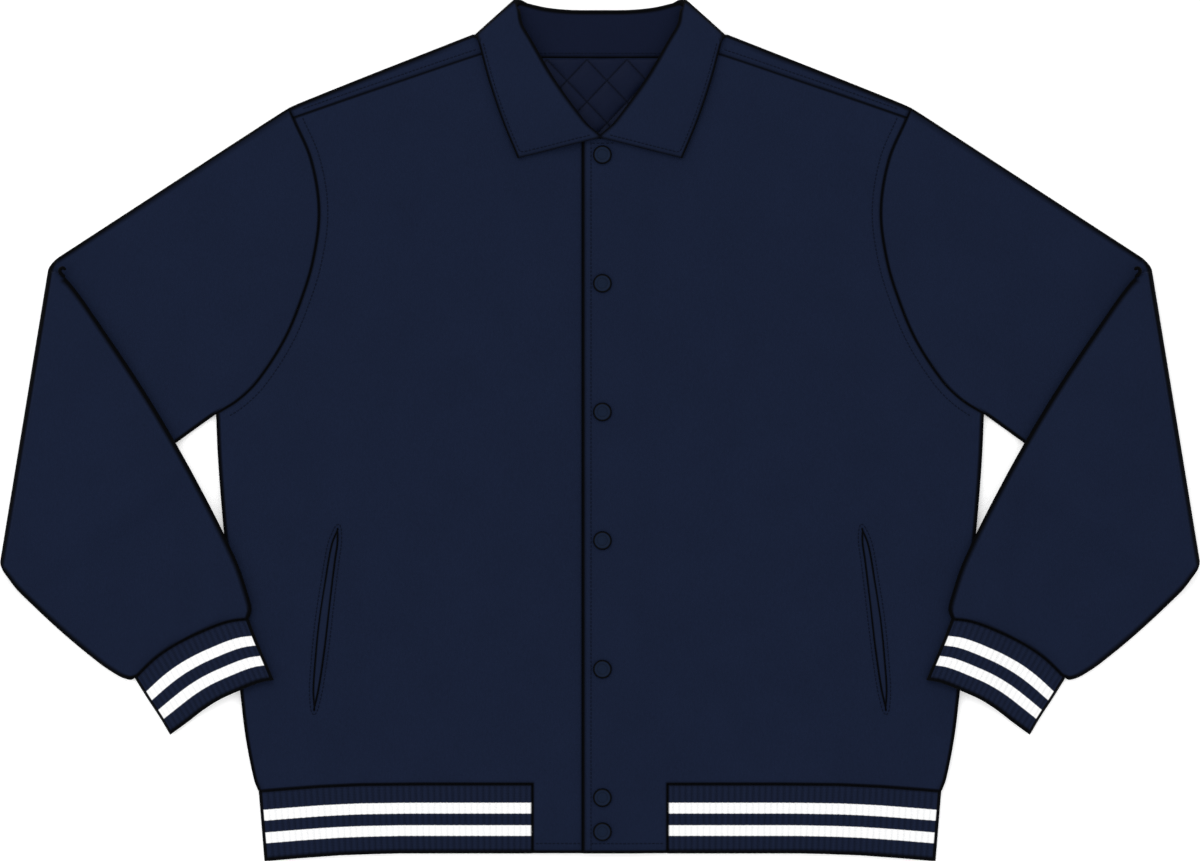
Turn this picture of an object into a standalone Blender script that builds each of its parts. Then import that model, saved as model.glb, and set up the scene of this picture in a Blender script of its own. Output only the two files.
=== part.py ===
"""Varsity jacket laid flat on its back: real size, metres, +Z up, resting on z = 0.

Lengths are written in millimetres. A point of the pattern is (out, up): its distance from the centre line and its
height above the lowest point of the hem. side is -1 for the wearer's right half, which lies at -X, and +1 for the
left half. Each panel is a wall of cloth. The back lies on the floor and rolls over the shoulders, the fronts lie on
it, and each sleeve is a flat tube folded at the elbow, so that the forearm lies on the upper arm and on the body.
"""
import math

import bmesh
import bpy
from mathutils import Vector

MM = 0.001

# Whole garment
LENGTH = 717.5
SEAM_GAP = 0.3          # between the edges of two pieces that are sewn together
LAY_GAP = 0.5           # between cloth that lies on other cloth
LEAF_CLEAR = 0.4        # more where cloth lies on a slope

# Cloth
WALL = 2.5              # shell cloth with its backing
INNER_GAP = 1.0         # between the back and the fronts, and inside the flat sleeves
STACK = 2 * WALL + INNER_GAP
HALF_STACK = STACK / 2
COLLAR_WALL = 2.6
RIB_WALL = 1.8          # rib knit in the valleys
RIB_HEIGHT = 1.0        # crests above the valleys
RIB_PITCH = 5.0
LINING_WALL = 1.2
QUILT_HEIGHT = 1.5
QUILT_PITCH = 33.0      # along a row of diamonds

RIBBED_CUFF = 105.0     # width of a cuff's knit, counted in whole ribs
RIBBED_HEM = 220.0      # the same for each half of the hem's front
WELT_WALL = 1.6         # pocket welts
WELD = 0.01             # points closer than this are one point

# Round sides of the body, where the walls of the back and the fronts turn toward each other
SIDE_INSET = 0.9        # of the wall's middle at the side seam
SIDE_TURN = 2.4         # width of the strip that turns
SIDE_DROP = 0.25        # of the strip's edge toward the other wall

# Centre front
LAP = 14.0              # each front reaches this far past the centre line
LAP_CLEAR = 24.0        # the upper front stays raised to here
LAP_END = 50.0          # and lies on the back again from here
TAB = 56.0              # half width of the two tabs between the ends of the hem rib
TAB_DEPTH = 57.0

# How far one layer's rise over another reaches beside it
UNDER_COLLAR = ((0.0, 660.0), (95.0, LENGTH))   # where the back lies on the turned-down collar
COLLAR_REACH = 80.0
LINING_EASE = 4.0       # round the lining, where the fronts lie at their full height
LINING_REACH = 70.0
FOREARM_REACH = 46.0    # the forearm leaves the floor this far from the cloth that it lies on
FOREARM_RISE = 30.0     # and is at its full height after this much

# Edges of the flat tubes
EDGE_SHARE = 0.3        # a point of a sleeve's round edge: share of the edge's width
EDGE_HEIGHT = 0.72      # and share of the tube's half height
CUFF_EDGE_DROP = 0.7    # of a cuff's first valley, where the knit turns under
CUFF_HOLLOW_SHARE = 0.2     # the hollow of a cuff starts this share of a step inside its edge
HEM_TURN = 0.92         # share of the height that the hem's round side reaches
HEM_HALF_WIDTHS = (284.6, 279.2)    # at the hem's seam and at its lower edge

# Ends of the sections round the elbow, first and last, from the ends of the crease
CREASE_TOP = (-5.7, 6.0)
CREASE_BOTTOM = (-6.1, 4.3)
CREASE_ROUND = 2.5      # all of them are shorter by this where the fold is roundest

# Ends of the collar's rows along its fold, above and below the fold
COLLAR_STARTS = (4.5, -4.4)
COLLAR_ENDS = (47.5, 41.5)
STAND_STARTS = (8.0, -1.0)
STAND_ENDS = (32.0, 30.0)
STAND_INSET = COLLAR_WALL + 2.4 * LAY_GAP       # the stand's fold lies this far inside the collar's

# Clear distances (out, up) between the edges of sewn pieces that lean toward each other
SLEEVE_TO_CUFF = (0.1, 0.45)
STAND_TO_FRONT = (-0.2, 0.35)
STAND_TO_BACK = (0.0, 0.35)

# Snaps
SNAP_DIAMETER = 15.6
SNAP_HEIGHT = 2.4
SNAP_OUT = 2.0          # from the centre line toward the wearer's left
SNAP_UPS = (588.3, 481.3, 374.2, 267.1, 160.0, 53.0, 24.6)
SNAP_PROFILE = ((0.0, 1.5), (4.6, 1.7), (5.4, SNAP_HEIGHT), (6.9, SNAP_HEIGHT), (SNAP_DIAMETER / 2, 1.4),
                (SNAP_DIAMETER / 2 - 0.3, 0.0), (0.0, 0.0))      # (radius, height)

# Outlines: (out, up)
SHOULDER_FOLD = ((259.2, 627.0), (183.3, 658.0), (120.0, 683.5), (110.0, 684.0), (101.0, 682.5), (93.0, 685.0))
SHOULDER_SEAM = ((255.0, 619.6), (183.0, 644.5), (99.0, 672.5), (90.0, 674.0))
BACK_NECK = ((93.0, 685.0), (82.0, 674.0), (64.0, 669.5), (40.0, 669.0), (0.0, 668.8))
FRONT_NECK = ((90.0, 674.0), (80.0, 645.0), (58.0, 620.0), (30.0, 605.0), (10.0, 600.5), (-LAP, 600.0))
ARMHOLE = ((259.2, 627.0), (254.6, 617.5), (240.4, 584.2), (233.8, 542.0), (238.8, 500.8), (248.8, 467.5),
           (262.9, 434.2), (284.6, 400.8), (301.3, 384.2), (320.0, 372.5))
BODY_SIDE = ((320.0, 372.5), (318.3, 334.2), (314.2, 281.7), (306.5, 205.0), (299.2, 134.2), (295.0, 100.8),
             (288.3, 67.5), (284.8, 58.5))
HEM_SEAM = ((284.8, 58.5), (266.7, 60.0), (233.3, 62.5), (200.0, 64.0), (150.0, 64.5), (-LAP, 64.5))
HEM_EDGE = ((279.0, 0.0), (265.0, 1.7), (250.0, 3.2), (216.7, 5.6), (190.0, 6.8), (166.7, 7.5), (-LAP, 7.5))
FRONT_OUTS = (281.8, 278.0, 266.7, 233.3, 200.0, 150.0, 100.0, TAB, 40.0, 24.0, 6.0, -LAP)
BACK_OUTS = (281.8, 278.0, 266.7, 233.3, 200.0, 150.0, 120.0, 90.0, 60.0, 30.0, 0.0)
SLEEVE_TOP = ((259.2, 627.0), (266.7, 623.3), (358.0, 564.0), (451.9, 502.9))
SLEEVE_UNDER = ((320.0, 372.5), (405.0, 311.5), (493.7, 249.2))
CREASE = ((459.0, 498.3), (500.8, 244.2))
FOREARM_INNER = ((454.2, 491.4), (443.3, 484.2), (418.8, 450.8), (374.6, 384.2), (336.3, 317.5), (302.9, 250.8),
                 (292.0, 219.0), (290.0, 209.0), (292.5, 202.0))
FOREARM_OUTER = ((495.4, 239.0), (483.3, 224.2), (450.0, 192.5), (416.7, 165.0), (400.0, 155.4), (392.5, 152.7),
                 (388.2, 152.9), (385.8, 154.4))
CUFF_SEAM = ((292.5, 202.0), (305.6, 200.6), (316.7, 197.6), (330.6, 192.0), (344.4, 185.2), (358.3, 177.3),
             (372.2, 167.2), (385.8, 154.4))
CUFF_EDGE = ((271.7, 151.0), (283.3, 148.8), (300.0, 142.2), (316.7, 134.2), (330.6, 125.8), (342.5, 117.4),
             (356.7, 106.5))
CUFF_INNER = ((292.5, 202.0), (286.2, 185.2), (279.0, 168.2), (271.7, 151.0))
CUFF_OUTER = ((385.8, 154.4), (375.5, 136.0), (365.0, 119.0), (356.7, 106.5))
COLLAR_FOLD = ((70.0, 717.5), (102.5, 688.3))
COLLAR_ROLL = ((68.0, 708.0), (66.0, 697.0), (58.8, 684.2), (39.2, 650.8), (14.6, 617.5), (1.0, 604.0))
COLLAR_EDGE = ((100.8, 680.4), (92.9, 650.8), (81.7, 617.5), (68.3, 586.7))
COLLAR_FRONT = ((1.0, 604.0), (16.7, 599.2), (45.8, 592.1), (68.3, 586.7))
LEAF_SIDE = (COLLAR_ROLL[0], (84.0, 694.5), COLLAR_EDGE[0])
FALL_RIM = ((62.0, 715.0), (45.8, 711.7), (25.0, 709.5), (0.0, 709.2))
FALL_EDGE = ((96.4, 684.5), (75.0, 671.0), (45.0, 661.0), (0.0, 658.0))
FALL_SIDE = (FALL_RIM[0], (79.0, 700.0), FALL_EDGE[0])
STAND_ROLL = ((67.0, 703.5), (65.0, 696.0), (57.5, 684.0), (38.0, 651.0), (13.6, 618.6), (5.0, 609.5))
STAND_RIM = ((60.0, 709.5), (44.0, 708.5), (24.0, 706.5), (0.0, 706.0))
LINING = ((80.0, 668.0), (80.0, 592.0))
WELT_LEFT = ((238.3, 124.2), (239.6, 142.0), (238.0, 167.0), (234.8, 200.0), (229.6, 234.0), (224.2, 264.0),
             (218.3, 278.3))
WELT_RIGHT = ((218.3, 278.3), (217.9, 266.0), (220.0, 250.8), (224.0, 217.5), (229.0, 175.0), (234.0, 142.0),
              (238.3, 124.2))

# How finely each piece is divided
SHOULDER_PARTS = (0.0, 0.03, 0.22, 0.42, 0.62, 0.82, 1.0)
NECK_COLUMNS = 4
ARMHOLE_ROWS = 11
SIDE_ROWS = 6
UPPER_STATIONS = 6
FOLD_STATIONS = 5
FOREARM_STATIONS = 11
SECTION_POINTS = ARMHOLE_ROWS
FRONT_NECK_COLUMNS = 5
ROLL_STEPS = 4
CUFF_ROWS = 4
HEM_BACK_COLUMNS = 8
HEM_ROW_PARTS = (0.0, 0.06, 0.94, 1.0)
TAB_ROW_PARTS = (0.5, 1.0)
COLLAR_ROWS = 4
LEAF_COLUMNS = 7
FALL_COLUMNS = 5
STAND_ROWS = 3
LINING_ROWS = 3
LINING_COLUMNS = 6
WELT_POINTS = 12
SNAP_SIDES = 20

JACKET = bpy.data.collections.new("varsity_jacket")


# ---- curves and patches ---------------------------------------------------------------------------------------

def flow(points, count=None, at=None):
    """Points along a smooth curve through the given ones, count of them evenly spaced, or at the given fractions."""
    dense = []
    steps = 12
    for i in range(len(points) - 1):
        before = Vector(points[max(i - 1, 0)])
        start = Vector(points[i])
        end = Vector(points[i + 1])
        after = Vector(points[min(i + 2, len(points) - 1)])
        span = (end - start).length
        leave = (end - before).normalized() * span
        arrive = (after - start).normalized() * span
        for step in range(steps):
            t = step / steps
            dense.append((2 * t**3 - 3 * t**2 + 1) * start + (t**3 - 2 * t**2 + t) * leave
                         + (3 * t**2 - 2 * t**3) * end + (t**3 - t**2) * arrive)
    dense.append(Vector(points[-1]))
    reached = [0.0]
    for a, b in zip(dense, dense[1:]):
        reached.append(reached[-1] + (b - a).length)
    fractions = at or [i / (count - 1) for i in range(count)]
    found = []
    place = 0
    for fraction in fractions:
        target = fraction * reached[-1]
        while place < len(dense) - 2 and reached[place + 1] < target:
            place += 1
        part = (target - reached[place]) / (reached[place + 1] - reached[place])
        found.append(dense[place].lerp(dense[place + 1], min(max(part, 0.0), 1.0)))
    return found


def height_of(points, out):
    """The up of an outline at a distance out from the centre line, straight between its points."""
    for a, b in zip(points, points[1:]):
        if b[0] <= out <= a[0]:
            return a[1] + (b[1] - a[1]) * (out - a[0]) / (b[0] - a[0])
    nearest = min(points, key=lambda point: abs(point[0] - out))
    return nearest[1]


def divided(points, count):
    """A line of straight steps divided evenly into count points, corners included where they fall."""
    last = len(points) - 1
    found = []
    for i in range(count):
        scaled = i / (count - 1) * last
        k = min(int(scaled), last - 1)
        found.append(points[k].lerp(points[k + 1], scaled - k))
    return found


def coons(left, right, bottom, top):
    """A grid of points, rows from bottom to top, between four curves that share their corners."""
    rows = []
    for j, (at_left, at_right) in enumerate(zip(left, right)):
        v = j / (len(left) - 1)
        row = []
        for i, (at_bottom, at_top) in enumerate(zip(bottom, top)):
            u = i / (len(bottom) - 1)
            corners = ((1 - u) * (1 - v) * bottom[0] + u * (1 - v) * bottom[-1]
                       + (1 - u) * v * top[0] + u * v * top[-1])
            row.append((1 - v) * at_bottom + v * at_top + (1 - u) * at_left + u * at_right - corners)
        rows.append(row)
    return rows


def moved_aside(points, distance):
    """A line of points moved to its right by a distance."""
    moved = []
    for i, point in enumerate(points):
        along = points[min(i + 1, len(points) - 1)] - points[max(i - 1, 0)]
        moved.append(point + Vector((along.y, -along.x)).normalized() * distance)
    return moved


def smooth(t):
    t = min(max(t, 0.0), 1.0)
    return t * t * (3 - 2 * t)


def apart(point, low, high):
    """Distance from a point to a rectangle."""
    across = max(low[0] - point[0], 0.0, point[0] - high[0])
    along = max(low[1] - point[1], 0.0, point[1] - high[1])
    return math.hypot(across, along)


def place(side, out, up, z):
    """A pattern point in the world, in metres."""
    return Vector((side * out, up - LENGTH / 2, z)) * MM


# ---- how high each layer lies ---------------------------------------------------------------------------------

def back_base(point):
    """Underside of the back: on the floor, and over the turned-down collar at the neck."""
    distance = apart((abs(point[0]), point[1]), *UNDER_COLLAR)
    return (COLLAR_WALL + LAY_GAP) * (1 - smooth(distance / COLLAR_REACH))


def front_base(point):
    """Underside of the fronts: on the back, and over the lining at the neck."""
    distance = apart((abs(point[0]), point[1]), (0, LINING[1][1] - LINING_EASE),
                     (LINING[0][0] + LINING_EASE, LINING[0][1]))
    lining = LINING_WALL + QUILT_HEIGHT + 2 * LAY_GAP - INNER_GAP
    return back_base(point) + WALL + INNER_GAP + lining * (1 - smooth(distance / LINING_REACH))


def lap_lift(point):
    """How much the upper front is raised where it lies on the lower one."""
    return (WALL + LAY_GAP) * (1 - smooth((point[0] - LAP_CLEAR) / (LAP_END - LAP_CLEAR)))


def leaf_base(side):
    """Underside of the collar where it lies on the fronts, for one side."""
    def base(point):
        return front_base(point) + WALL + LAY_GAP + LEAF_CLEAR + (lap_lift(point) if side > 0 else 0)
    return base


def forearm_base(point):
    """Underside of the forearm: on the upper arm and on the body, and on the floor between them."""
    start, end = Vector(SLEEVE_UNDER[0]), Vector(SLEEVE_UNDER[-1])
    along = (end - start).normalized()
    offset = Vector(point) - start
    over_arm = offset.y * along.x - offset.x * along.y
    over_body = side_out(point[1]) - point[0]
    nearest = max(over_arm, over_body)
    return (STACK + LAY_GAP) * smooth((nearest + FOREARM_REACH) / FOREARM_RISE)


def side_out(up):
    """Half width of the body at a height."""
    line = BODY_SIDE
    for a, b in zip(line, line[1:]):
        if b[1] <= up <= a[1]:
            return a[0] + (b[0] - a[0]) * (a[1] - up) / (a[1] - b[1])
    return line[0][0] if up > line[0][1] else line[-1][0]


# ---- making objects -------------------------------------------------------------------------------------------

def material(name, colour, roughness, metallic=0.0):
    finish = bpy.data.materials.get(name)
    if finish is None:
        finish = bpy.data.materials.new(name)
        finish.use_nodes = True
        shader = finish.node_tree.nodes["Principled BSDF"]
        shader.inputs["Base Color"].default_value = (*colour, 1)
        shader.inputs["Roughness"].default_value = roughness
        shader.inputs["Metallic"].default_value = metallic
    return finish


def shell_cloth():
    return material("shell_navy", (0.0103, 0.0160, 0.0382), 0.9)


def rib_knit():
    return material("rib_navy", (0.0110, 0.0170, 0.0400), 0.95)


def lining_satin():
    return material("lining_navy", (0.0075, 0.0103, 0.0262), 0.5)


def snap_enamel():
    return material("snap_navy", (0.0100, 0.0150, 0.0360), 0.35, 0.2)


def add_object(name, mesh, finish):
    made = bpy.data.objects.new(name, mesh)
    made.data.materials.append(finish)
    JACKET.objects.link(made)
    mesh.shade_smooth()
    mesh.set_sharp_from_angle(angle=math.radians(40))
    return made


def grid_faces(rows, columns, start=0, closed=False):
    """Index quads of a grid of points numbered row by row."""
    faces = []
    for j in range(rows - 1):
        for i in range(columns if closed else columns - 1):
            a = start + j * columns + i
            b = start + j * columns + (i + 1) % columns
            faces.append((a, b, b + columns, a + columns))
    return faces


def panel(name, points, faces, thickness, finish):
    """A wall of cloth: an open sheet made thick to both sides of its middle."""
    mesh = bpy.data.meshes.new(name)
    mesh.from_pydata(points, [], faces)
    made = add_object(name, mesh, finish)
    thick = made.modifiers.new("cloth", "SOLIDIFY")
    thick.thickness = thickness * MM
    thick.offset = 0
    thick.use_even_offset = True
    return made


def zip_loops(faces, first, second, positions):
    """Join two rows of point numbers: with quads where they are alike, else with triangles, level by level."""
    if len(first) == len(second):
        faces += [(first[k], first[k + 1], second[k + 1], second[k]) for k in range(len(first) - 1)]
        return
    lengths = []
    for loop in (first, second):
        reached = [0.0]
        for a, b in zip(loop, loop[1:]):
            reached.append(reached[-1] + (positions[b] - positions[a]).xy.length)
        lengths.append([value / reached[-1] for value in reached])
    i = j = 0
    while i < len(first) - 1 or j < len(second) - 1:
        next_first = lengths[0][i + 1] if i < len(first) - 1 else 2.0
        next_second = lengths[1][j + 1] if j < len(second) - 1 else 2.0
        if next_first <= next_second:
            faces.append((first[i], first[i + 1], second[j]))
            i += 1
        else:
            faces.append((first[i], second[j + 1], second[j]))
            j += 1


def closed_wall(name, outer, inner, ring, finish):
    """A wall between two grids of points. With ring, each row is a closed ring; the rows' counts may differ."""
    points = [point for row in outer for point in row]
    inner_start = len(points)
    points += [point for row in inner for point in row]
    faces = grid_faces(len(outer), len(outer[0]), 0, ring)
    faces += grid_faces(len(inner), len(inner[0]), inner_start, ring)

    def row_of(grid, start, j):
        width = len(grid[0])
        numbers = [start + j * width + i for i in range(width)]
        return numbers + numbers[:1] if ring else numbers

    def column_of(grid, start, i):
        width = len(grid[0])
        return [start + j * width + i for j in range(len(grid))]

    zip_loops(faces, row_of(outer, 0, 0), row_of(inner, inner_start, 0), points)
    zip_loops(faces, row_of(outer, 0, len(outer) - 1), row_of(inner, inner_start, len(inner) - 1), points)
    if not ring:
        zip_loops(faces, column_of(outer, 0, 0), column_of(inner, inner_start, 0), points)
        last = len(outer[0]) - 1
        zip_loops(faces, column_of(outer, 0, last), column_of(inner, inner_start, len(inner[0]) - 1), points)
    mesh = bpy.data.meshes.new(name)
    mesh.from_pydata(points, [], faces)
    shape = bmesh.new()
    shape.from_mesh(mesh)
    bmesh.ops.recalc_face_normals(shape, faces=shape.faces)
    shape.to_mesh(mesh)
    shape.free()
    return add_object(name, mesh, finish)


# ---- body -----------------------------------------------------------------------------------------------------

def armhole():
    """The armhole's points from the shoulder tip to the underarm."""
    return flow(ARMHOLE, ARMHOLE_ROWS + 1)


def outer_edge(first):
    """A panel's outer edge from the hem up: the side, then the armhole as far as its first point."""
    side_line = flow(BODY_SIDE, SIDE_ROWS + 1)
    return list(reversed(side_line))[:-1] + list(reversed([first] + armhole()[1:]))


def body_patch(top_line, first, columns):
    """A grid of pattern points for half of a body panel, rows from the hem up, columns from the side inward."""
    left = outer_edge(first)
    rows = len(left)
    hem = [Vector(point) + Vector((0, SEAM_GAP / 2)) for point in columns]
    front = [hem[-1].lerp(top_line[-1], j / (rows - 1)) for j in range(rows)]
    left[0] = hem[0]
    return coons(left, front, hem, top_line)


def inset_armhole(grid):
    """Move the armhole's points off the seam, and the side's points in by the roundness of the side."""
    for j, row in enumerate(grid):
        if j > SIDE_ROWS:
            row[0] = row[0] + (row[1] - row[0]).normalized() * SEAM_GAP
        else:
            row[0] = row[0] + Vector((-SIDE_INSET, 0))
            row[1] = row[0] + Vector((-SIDE_TURN, 0))


def front(name, side, upper):
    """A front, with its tab at the hem and, on the upper one, the lap raised over the lower front."""
    shoulder = flow(SHOULDER_SEAM, at=SHOULDER_PARTS)
    top_line = shoulder + flow(FRONT_NECK, FRONT_NECK_COLUMNS + 1)[1:]
    outs = FRONT_OUTS
    hem = [Vector((out, height_of(HEM_SEAM, out))) for out in outs]
    grid = body_patch(top_line, shoulder[0], hem)
    inset_armhole(grid)
    first_tab = outs.index(TAB)
    for i in range(first_tab, len(outs)):
        grid[0][i].y = HEM_SEAM[-1][1] + SEAM_GAP / 2
    grid[0][first_tab].x -= SEAM_GAP / 2
    points = []
    for j, row in enumerate(grid):
        for i, point in enumerate(row):
            z = front_base(point) + WALL / 2 + (lap_lift(point) if upper else 0)
            if i == 0 and j <= SIDE_ROWS:
                z -= SIDE_DROP
            points.append(place(side, point.x, point.y, z))
    faces = grid_faces(len(grid), len(outs))
    above = list(range(first_tab, len(outs)))
    for part in TAB_ROW_PARTS:
        below = []
        for out in outs[first_tab:]:
            point = (out - (SEAM_GAP if out == TAB else 0), HEM_SEAM[-1][1] - part * TAB_DEPTH)
            z = front_base(point) + WALL / 2 + (lap_lift(point) if upper else 0)
            below.append(len(points))
            points.append(place(side, *point, z))
        faces += [(below[k], below[k + 1], above[k + 1], above[k]) for k in range(len(above) - 1)]
        above = below
    return panel(name, points, faces, WALL, shell_cloth())


def back():
    """The back panel, which rolls over both shoulders to the forward shoulder seams."""
    folds = flow(SHOULDER_FOLD, at=SHOULDER_PARTS)
    seams = flow(SHOULDER_SEAM, at=SHOULDER_PARTS)
    neck = flow(BACK_NECK, NECK_COLUMNS + 1)[1:]
    inner_edge = []
    rolls = []
    for fold, seam in zip(folds, seams):
        toward = (seam - fold).normalized()
        low = back_base(fold) + WALL / 2
        high = front_base(fold) + WALL / 2
        radius = (high - low) / 2
        axis = fold + toward * (radius + WALL / 2)
        inner_edge.append(axis)
        middle = (high + low) / 2
        roll = [(axis - toward * radius * math.sin(angle), middle - radius * math.cos(angle))
                for angle in (math.pi * k / ROLL_STEPS for k in range(1, ROLL_STEPS))]
        end = seam - toward * SEAM_GAP
        for part in (0.0, 0.5, 1.0):
            point = axis.lerp(end, part)
            roll.append((point, front_base(point) + WALL / 2))
        rolls.append(roll)
    top_line = inner_edge + neck
    outs = BACK_OUTS
    hem = [Vector((out, height_of(HEM_SEAM, out))) for out in outs]
    half = body_patch(top_line, inner_edge[0], hem)
    inset_armhole(half)
    points = []
    faces = []
    for side in (-1, 1):
        start = len(points)
        for j, row in enumerate(half):
            for i, point in enumerate(row):
                z = back_base(point) + WALL / 2 + (SIDE_DROP if i == 0 and j <= SIDE_ROWS else 0)
                points.append(place(side, point.x, point.y, z))
        faces += grid_faces(len(half), len(outs), start)
        above = [start + (len(half) - 1) * len(outs) + i for i in range(len(rolls))]
        for level in range(len(rolls[0])):
            row = []
            for roll in rolls:
                point, z = roll[level]
                row.append(len(points))
                points.append(place(side, point.x, point.y, z))
            faces += [(above[k], above[k + 1], row[k + 1], row[k]) for k in range(len(row) - 1)]
            above = row
    made = panel("back", points, faces, WALL, shell_cloth())
    shape = bmesh.new()
    shape.from_mesh(made.data)
    bmesh.ops.remove_doubles(shape, verts=shape.verts, dist=WELD * MM)
    bmesh.ops.recalc_face_normals(shape, faces=shape.faces)
    shape.to_mesh(made.data)
    shape.free()
    return made


# ---- sleeves and cuffs ----------------------------------------------------------------------------------------

def tube_row(frames, height, edge):
    """One ring of a flat tube with round edges. frames are middle points with their upward directions."""
    length = (frames[0][0] - frames[-1][0]).length
    small = [0.0, EDGE_SHARE * edge / length, edge / length]
    middle = [i / SECTION_POINTS for i in range(1, SECTION_POINTS)]
    fractions = small + middle + [1 - value for value in reversed(small)]
    heights = [0.0, EDGE_HEIGHT * height] + [height] * (len(fractions) - 4) + [EDGE_HEIGHT * height, 0.0]
    line = [point for point, _ in frames]
    ups = [up for _, up in frames]
    over, under = [], []
    for fraction, rise in zip(fractions, heights):
        scaled = fraction * (len(line) - 1)
        k = min(int(scaled), len(line) - 2)
        point = line[k].lerp(line[k + 1], scaled - k)
        up = ups[k].lerp(ups[k + 1], scaled - k).normalized()
        over.append(point + up * rise)
        under.append(point - up * rise)
    return over + list(reversed(under))[1:-1]


def crease_stations():
    """Sections round the elbow fold, as lists of (point, direction toward the inside of the fold)."""
    top, bottom = Vector(CREASE[0]), Vector(CREASE[1])
    along = (bottom - top).normalized()
    outward = Vector((-along.y, along.x))
    if outward.x < 0:
        outward = -outward
    radius = HALF_STACK + LAY_GAP / 2
    reach = radius + HALF_STACK
    length = (bottom - top).length
    stations = []
    for k in range(1, FOLD_STATIONS):
        angle = math.pi * k / FOLD_STATIONS
        turn = smooth(k / FOLD_STATIONS)
        shorter = CREASE_ROUND * math.sin(angle)
        start = CREASE_TOP[0] + (CREASE_TOP[1] - CREASE_TOP[0]) * turn + shorter
        end = length + CREASE_BOTTOM[0] + (CREASE_BOTTOM[1] - CREASE_BOTTOM[0]) * turn - shorter
        line = []
        for i in range(SECTION_POINTS + 1):
            flat = top + along * (start + (end - start) * i / SECTION_POINTS)
            flat = flat - outward * (reach - radius * math.sin(angle))
            point = Vector((flat.x, flat.y, HALF_STACK + radius - radius * math.cos(angle)))
            inside = Vector((-outward.x * math.sin(angle), -outward.y * math.sin(angle), math.cos(angle)))
            line.append((point, inside))
        stations.append(line)
    return stations


def flat_stations(grid, base, direction):
    """Sections of a tube that lies flat, its middle half a stack above base."""
    stations = []
    for row in grid:
        line = [(Vector((point.x, point.y, base(point) + HALF_STACK)), Vector((0, 0, direction))) for point in row]
        stations.append(line)
    return stations


def straight(start, end, count):
    return [Vector(start).lerp(Vector(end), i / (count - 1)) for i in range(count)]


def sleeve(name, side):
    """A sleeve: upper arm, elbow fold and forearm, one flat tube open at the armhole and at the cuff."""
    count = SECTION_POINTS + 1
    cap = moved_aside(flow(ARMHOLE, count), -SEAM_GAP)
    upper = coons(flow(SLEEVE_TOP, UPPER_STATIONS), flow(SLEEVE_UNDER, UPPER_STATIONS), cap,
                  straight(SLEEVE_TOP[-1], SLEEVE_UNDER[-1], count))
    cuff_line = [point + Vector(SLEEVE_TO_CUFF) for point in flow(CUFF_SEAM, count)]
    forearm = coons(flow(FOREARM_INNER, FOREARM_STATIONS), flow(FOREARM_OUTER, FOREARM_STATIONS),
                    straight(FOREARM_INNER[0], FOREARM_OUTER[0], count), cuff_line)
    upper[0] = cap
    forearm[-1] = cuff_line
    stations = flat_stations(upper, lambda point: 0.0, 1) + crease_stations()
    stations += flat_stations(forearm, forearm_base, -1)
    outer, inner = [], []
    for line in stations:
        outer.append([place(side, *point) for point in tube_row(line, HALF_STACK, HALF_STACK)])
        narrow = narrowed(line, WALL)
        inner.append([place(side, *point) for point in tube_row(narrow, INNER_GAP / 2, INNER_GAP)])
    return closed_wall(name, outer, inner, True, shell_cloth())


def narrowed(line, inset):
    """A section with both ends drawn in by the wall."""
    length = sum((b[0] - a[0]).length for a, b in zip(line, line[1:]))
    part = inset / length
    last = len(line) - 1
    drawn = []
    for i in range(len(line)):
        scaled = (part + (1 - 2 * part) * i / last) * last
        k = min(int(scaled), last - 1)
        drawn.append((line[k][0].lerp(line[k + 1][0], scaled - k), line[k][1].lerp(line[k + 1][1], scaled - k)))
    return drawn


def ribbed(count, low, high, edge_points):
    """Heights across a rib knit: low at the edges, then crest and valley by turns."""
    heights = []
    for i in range(count):
        inside = edge_points <= i < count - edge_points
        heights.append(high if inside and i % 2 else low)
    return heights


def cuff(name, side):
    """A rib knit cuff: a short flat tube, ribbed above and plain below, where it rests."""
    ribs = round(RIBBED_CUFF / RIB_PITCH)
    across = 2 * ribs + 1
    rows = CUFF_ROWS
    seam = flow(CUFF_SEAM, SECTION_POINTS + 1)
    fine = coons(flow(CUFF_INNER, rows), flow(CUFF_OUTER, rows), divided(seam, across), flow(CUFF_EDGE, across))
    coarse = coons(flow(CUFF_INNER, rows), flow(CUFF_OUTER, rows), seam, flow(CUFF_EDGE, SECTION_POINTS + 1))
    outer, inner = [], []
    top_valley = WALL + INNER_GAP + RIB_WALL
    for fine_row, coarse_row in zip(fine, coarse):
        over = []
        for i, (point, rise) in enumerate(zip(fine_row, ribbed(across, 0.0, RIB_HEIGHT, 2))):
            z = HALF_STACK if i in (0, across - 1) else top_valley + rise
            z = top_valley - CUFF_EDGE_DROP if i in (1, across - 2) else z
            over.append(place(side, point.x, point.y, forearm_base(point) + z))
        under = [place(side, point.x, point.y, forearm_base(point)) for point in reversed(coarse_row[1:-1])]
        outer.append(over + under)
        first = coarse_row[0].lerp(coarse_row[1], CUFF_HOLLOW_SHARE)
        last = coarse_row[-1].lerp(coarse_row[-2], CUFF_HOLLOW_SHARE)
        ends = [first] + coarse_row[1:-1] + [last]
        high = [place(side, p.x, p.y, forearm_base(p) + WALL + INNER_GAP) for p in ends]
        low = [place(side, p.x, p.y, forearm_base(p) + WALL) for p in reversed(ends)]
        inner.append(high + low)
    return closed_wall(name, outer, inner, True, rib_knit())


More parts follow.
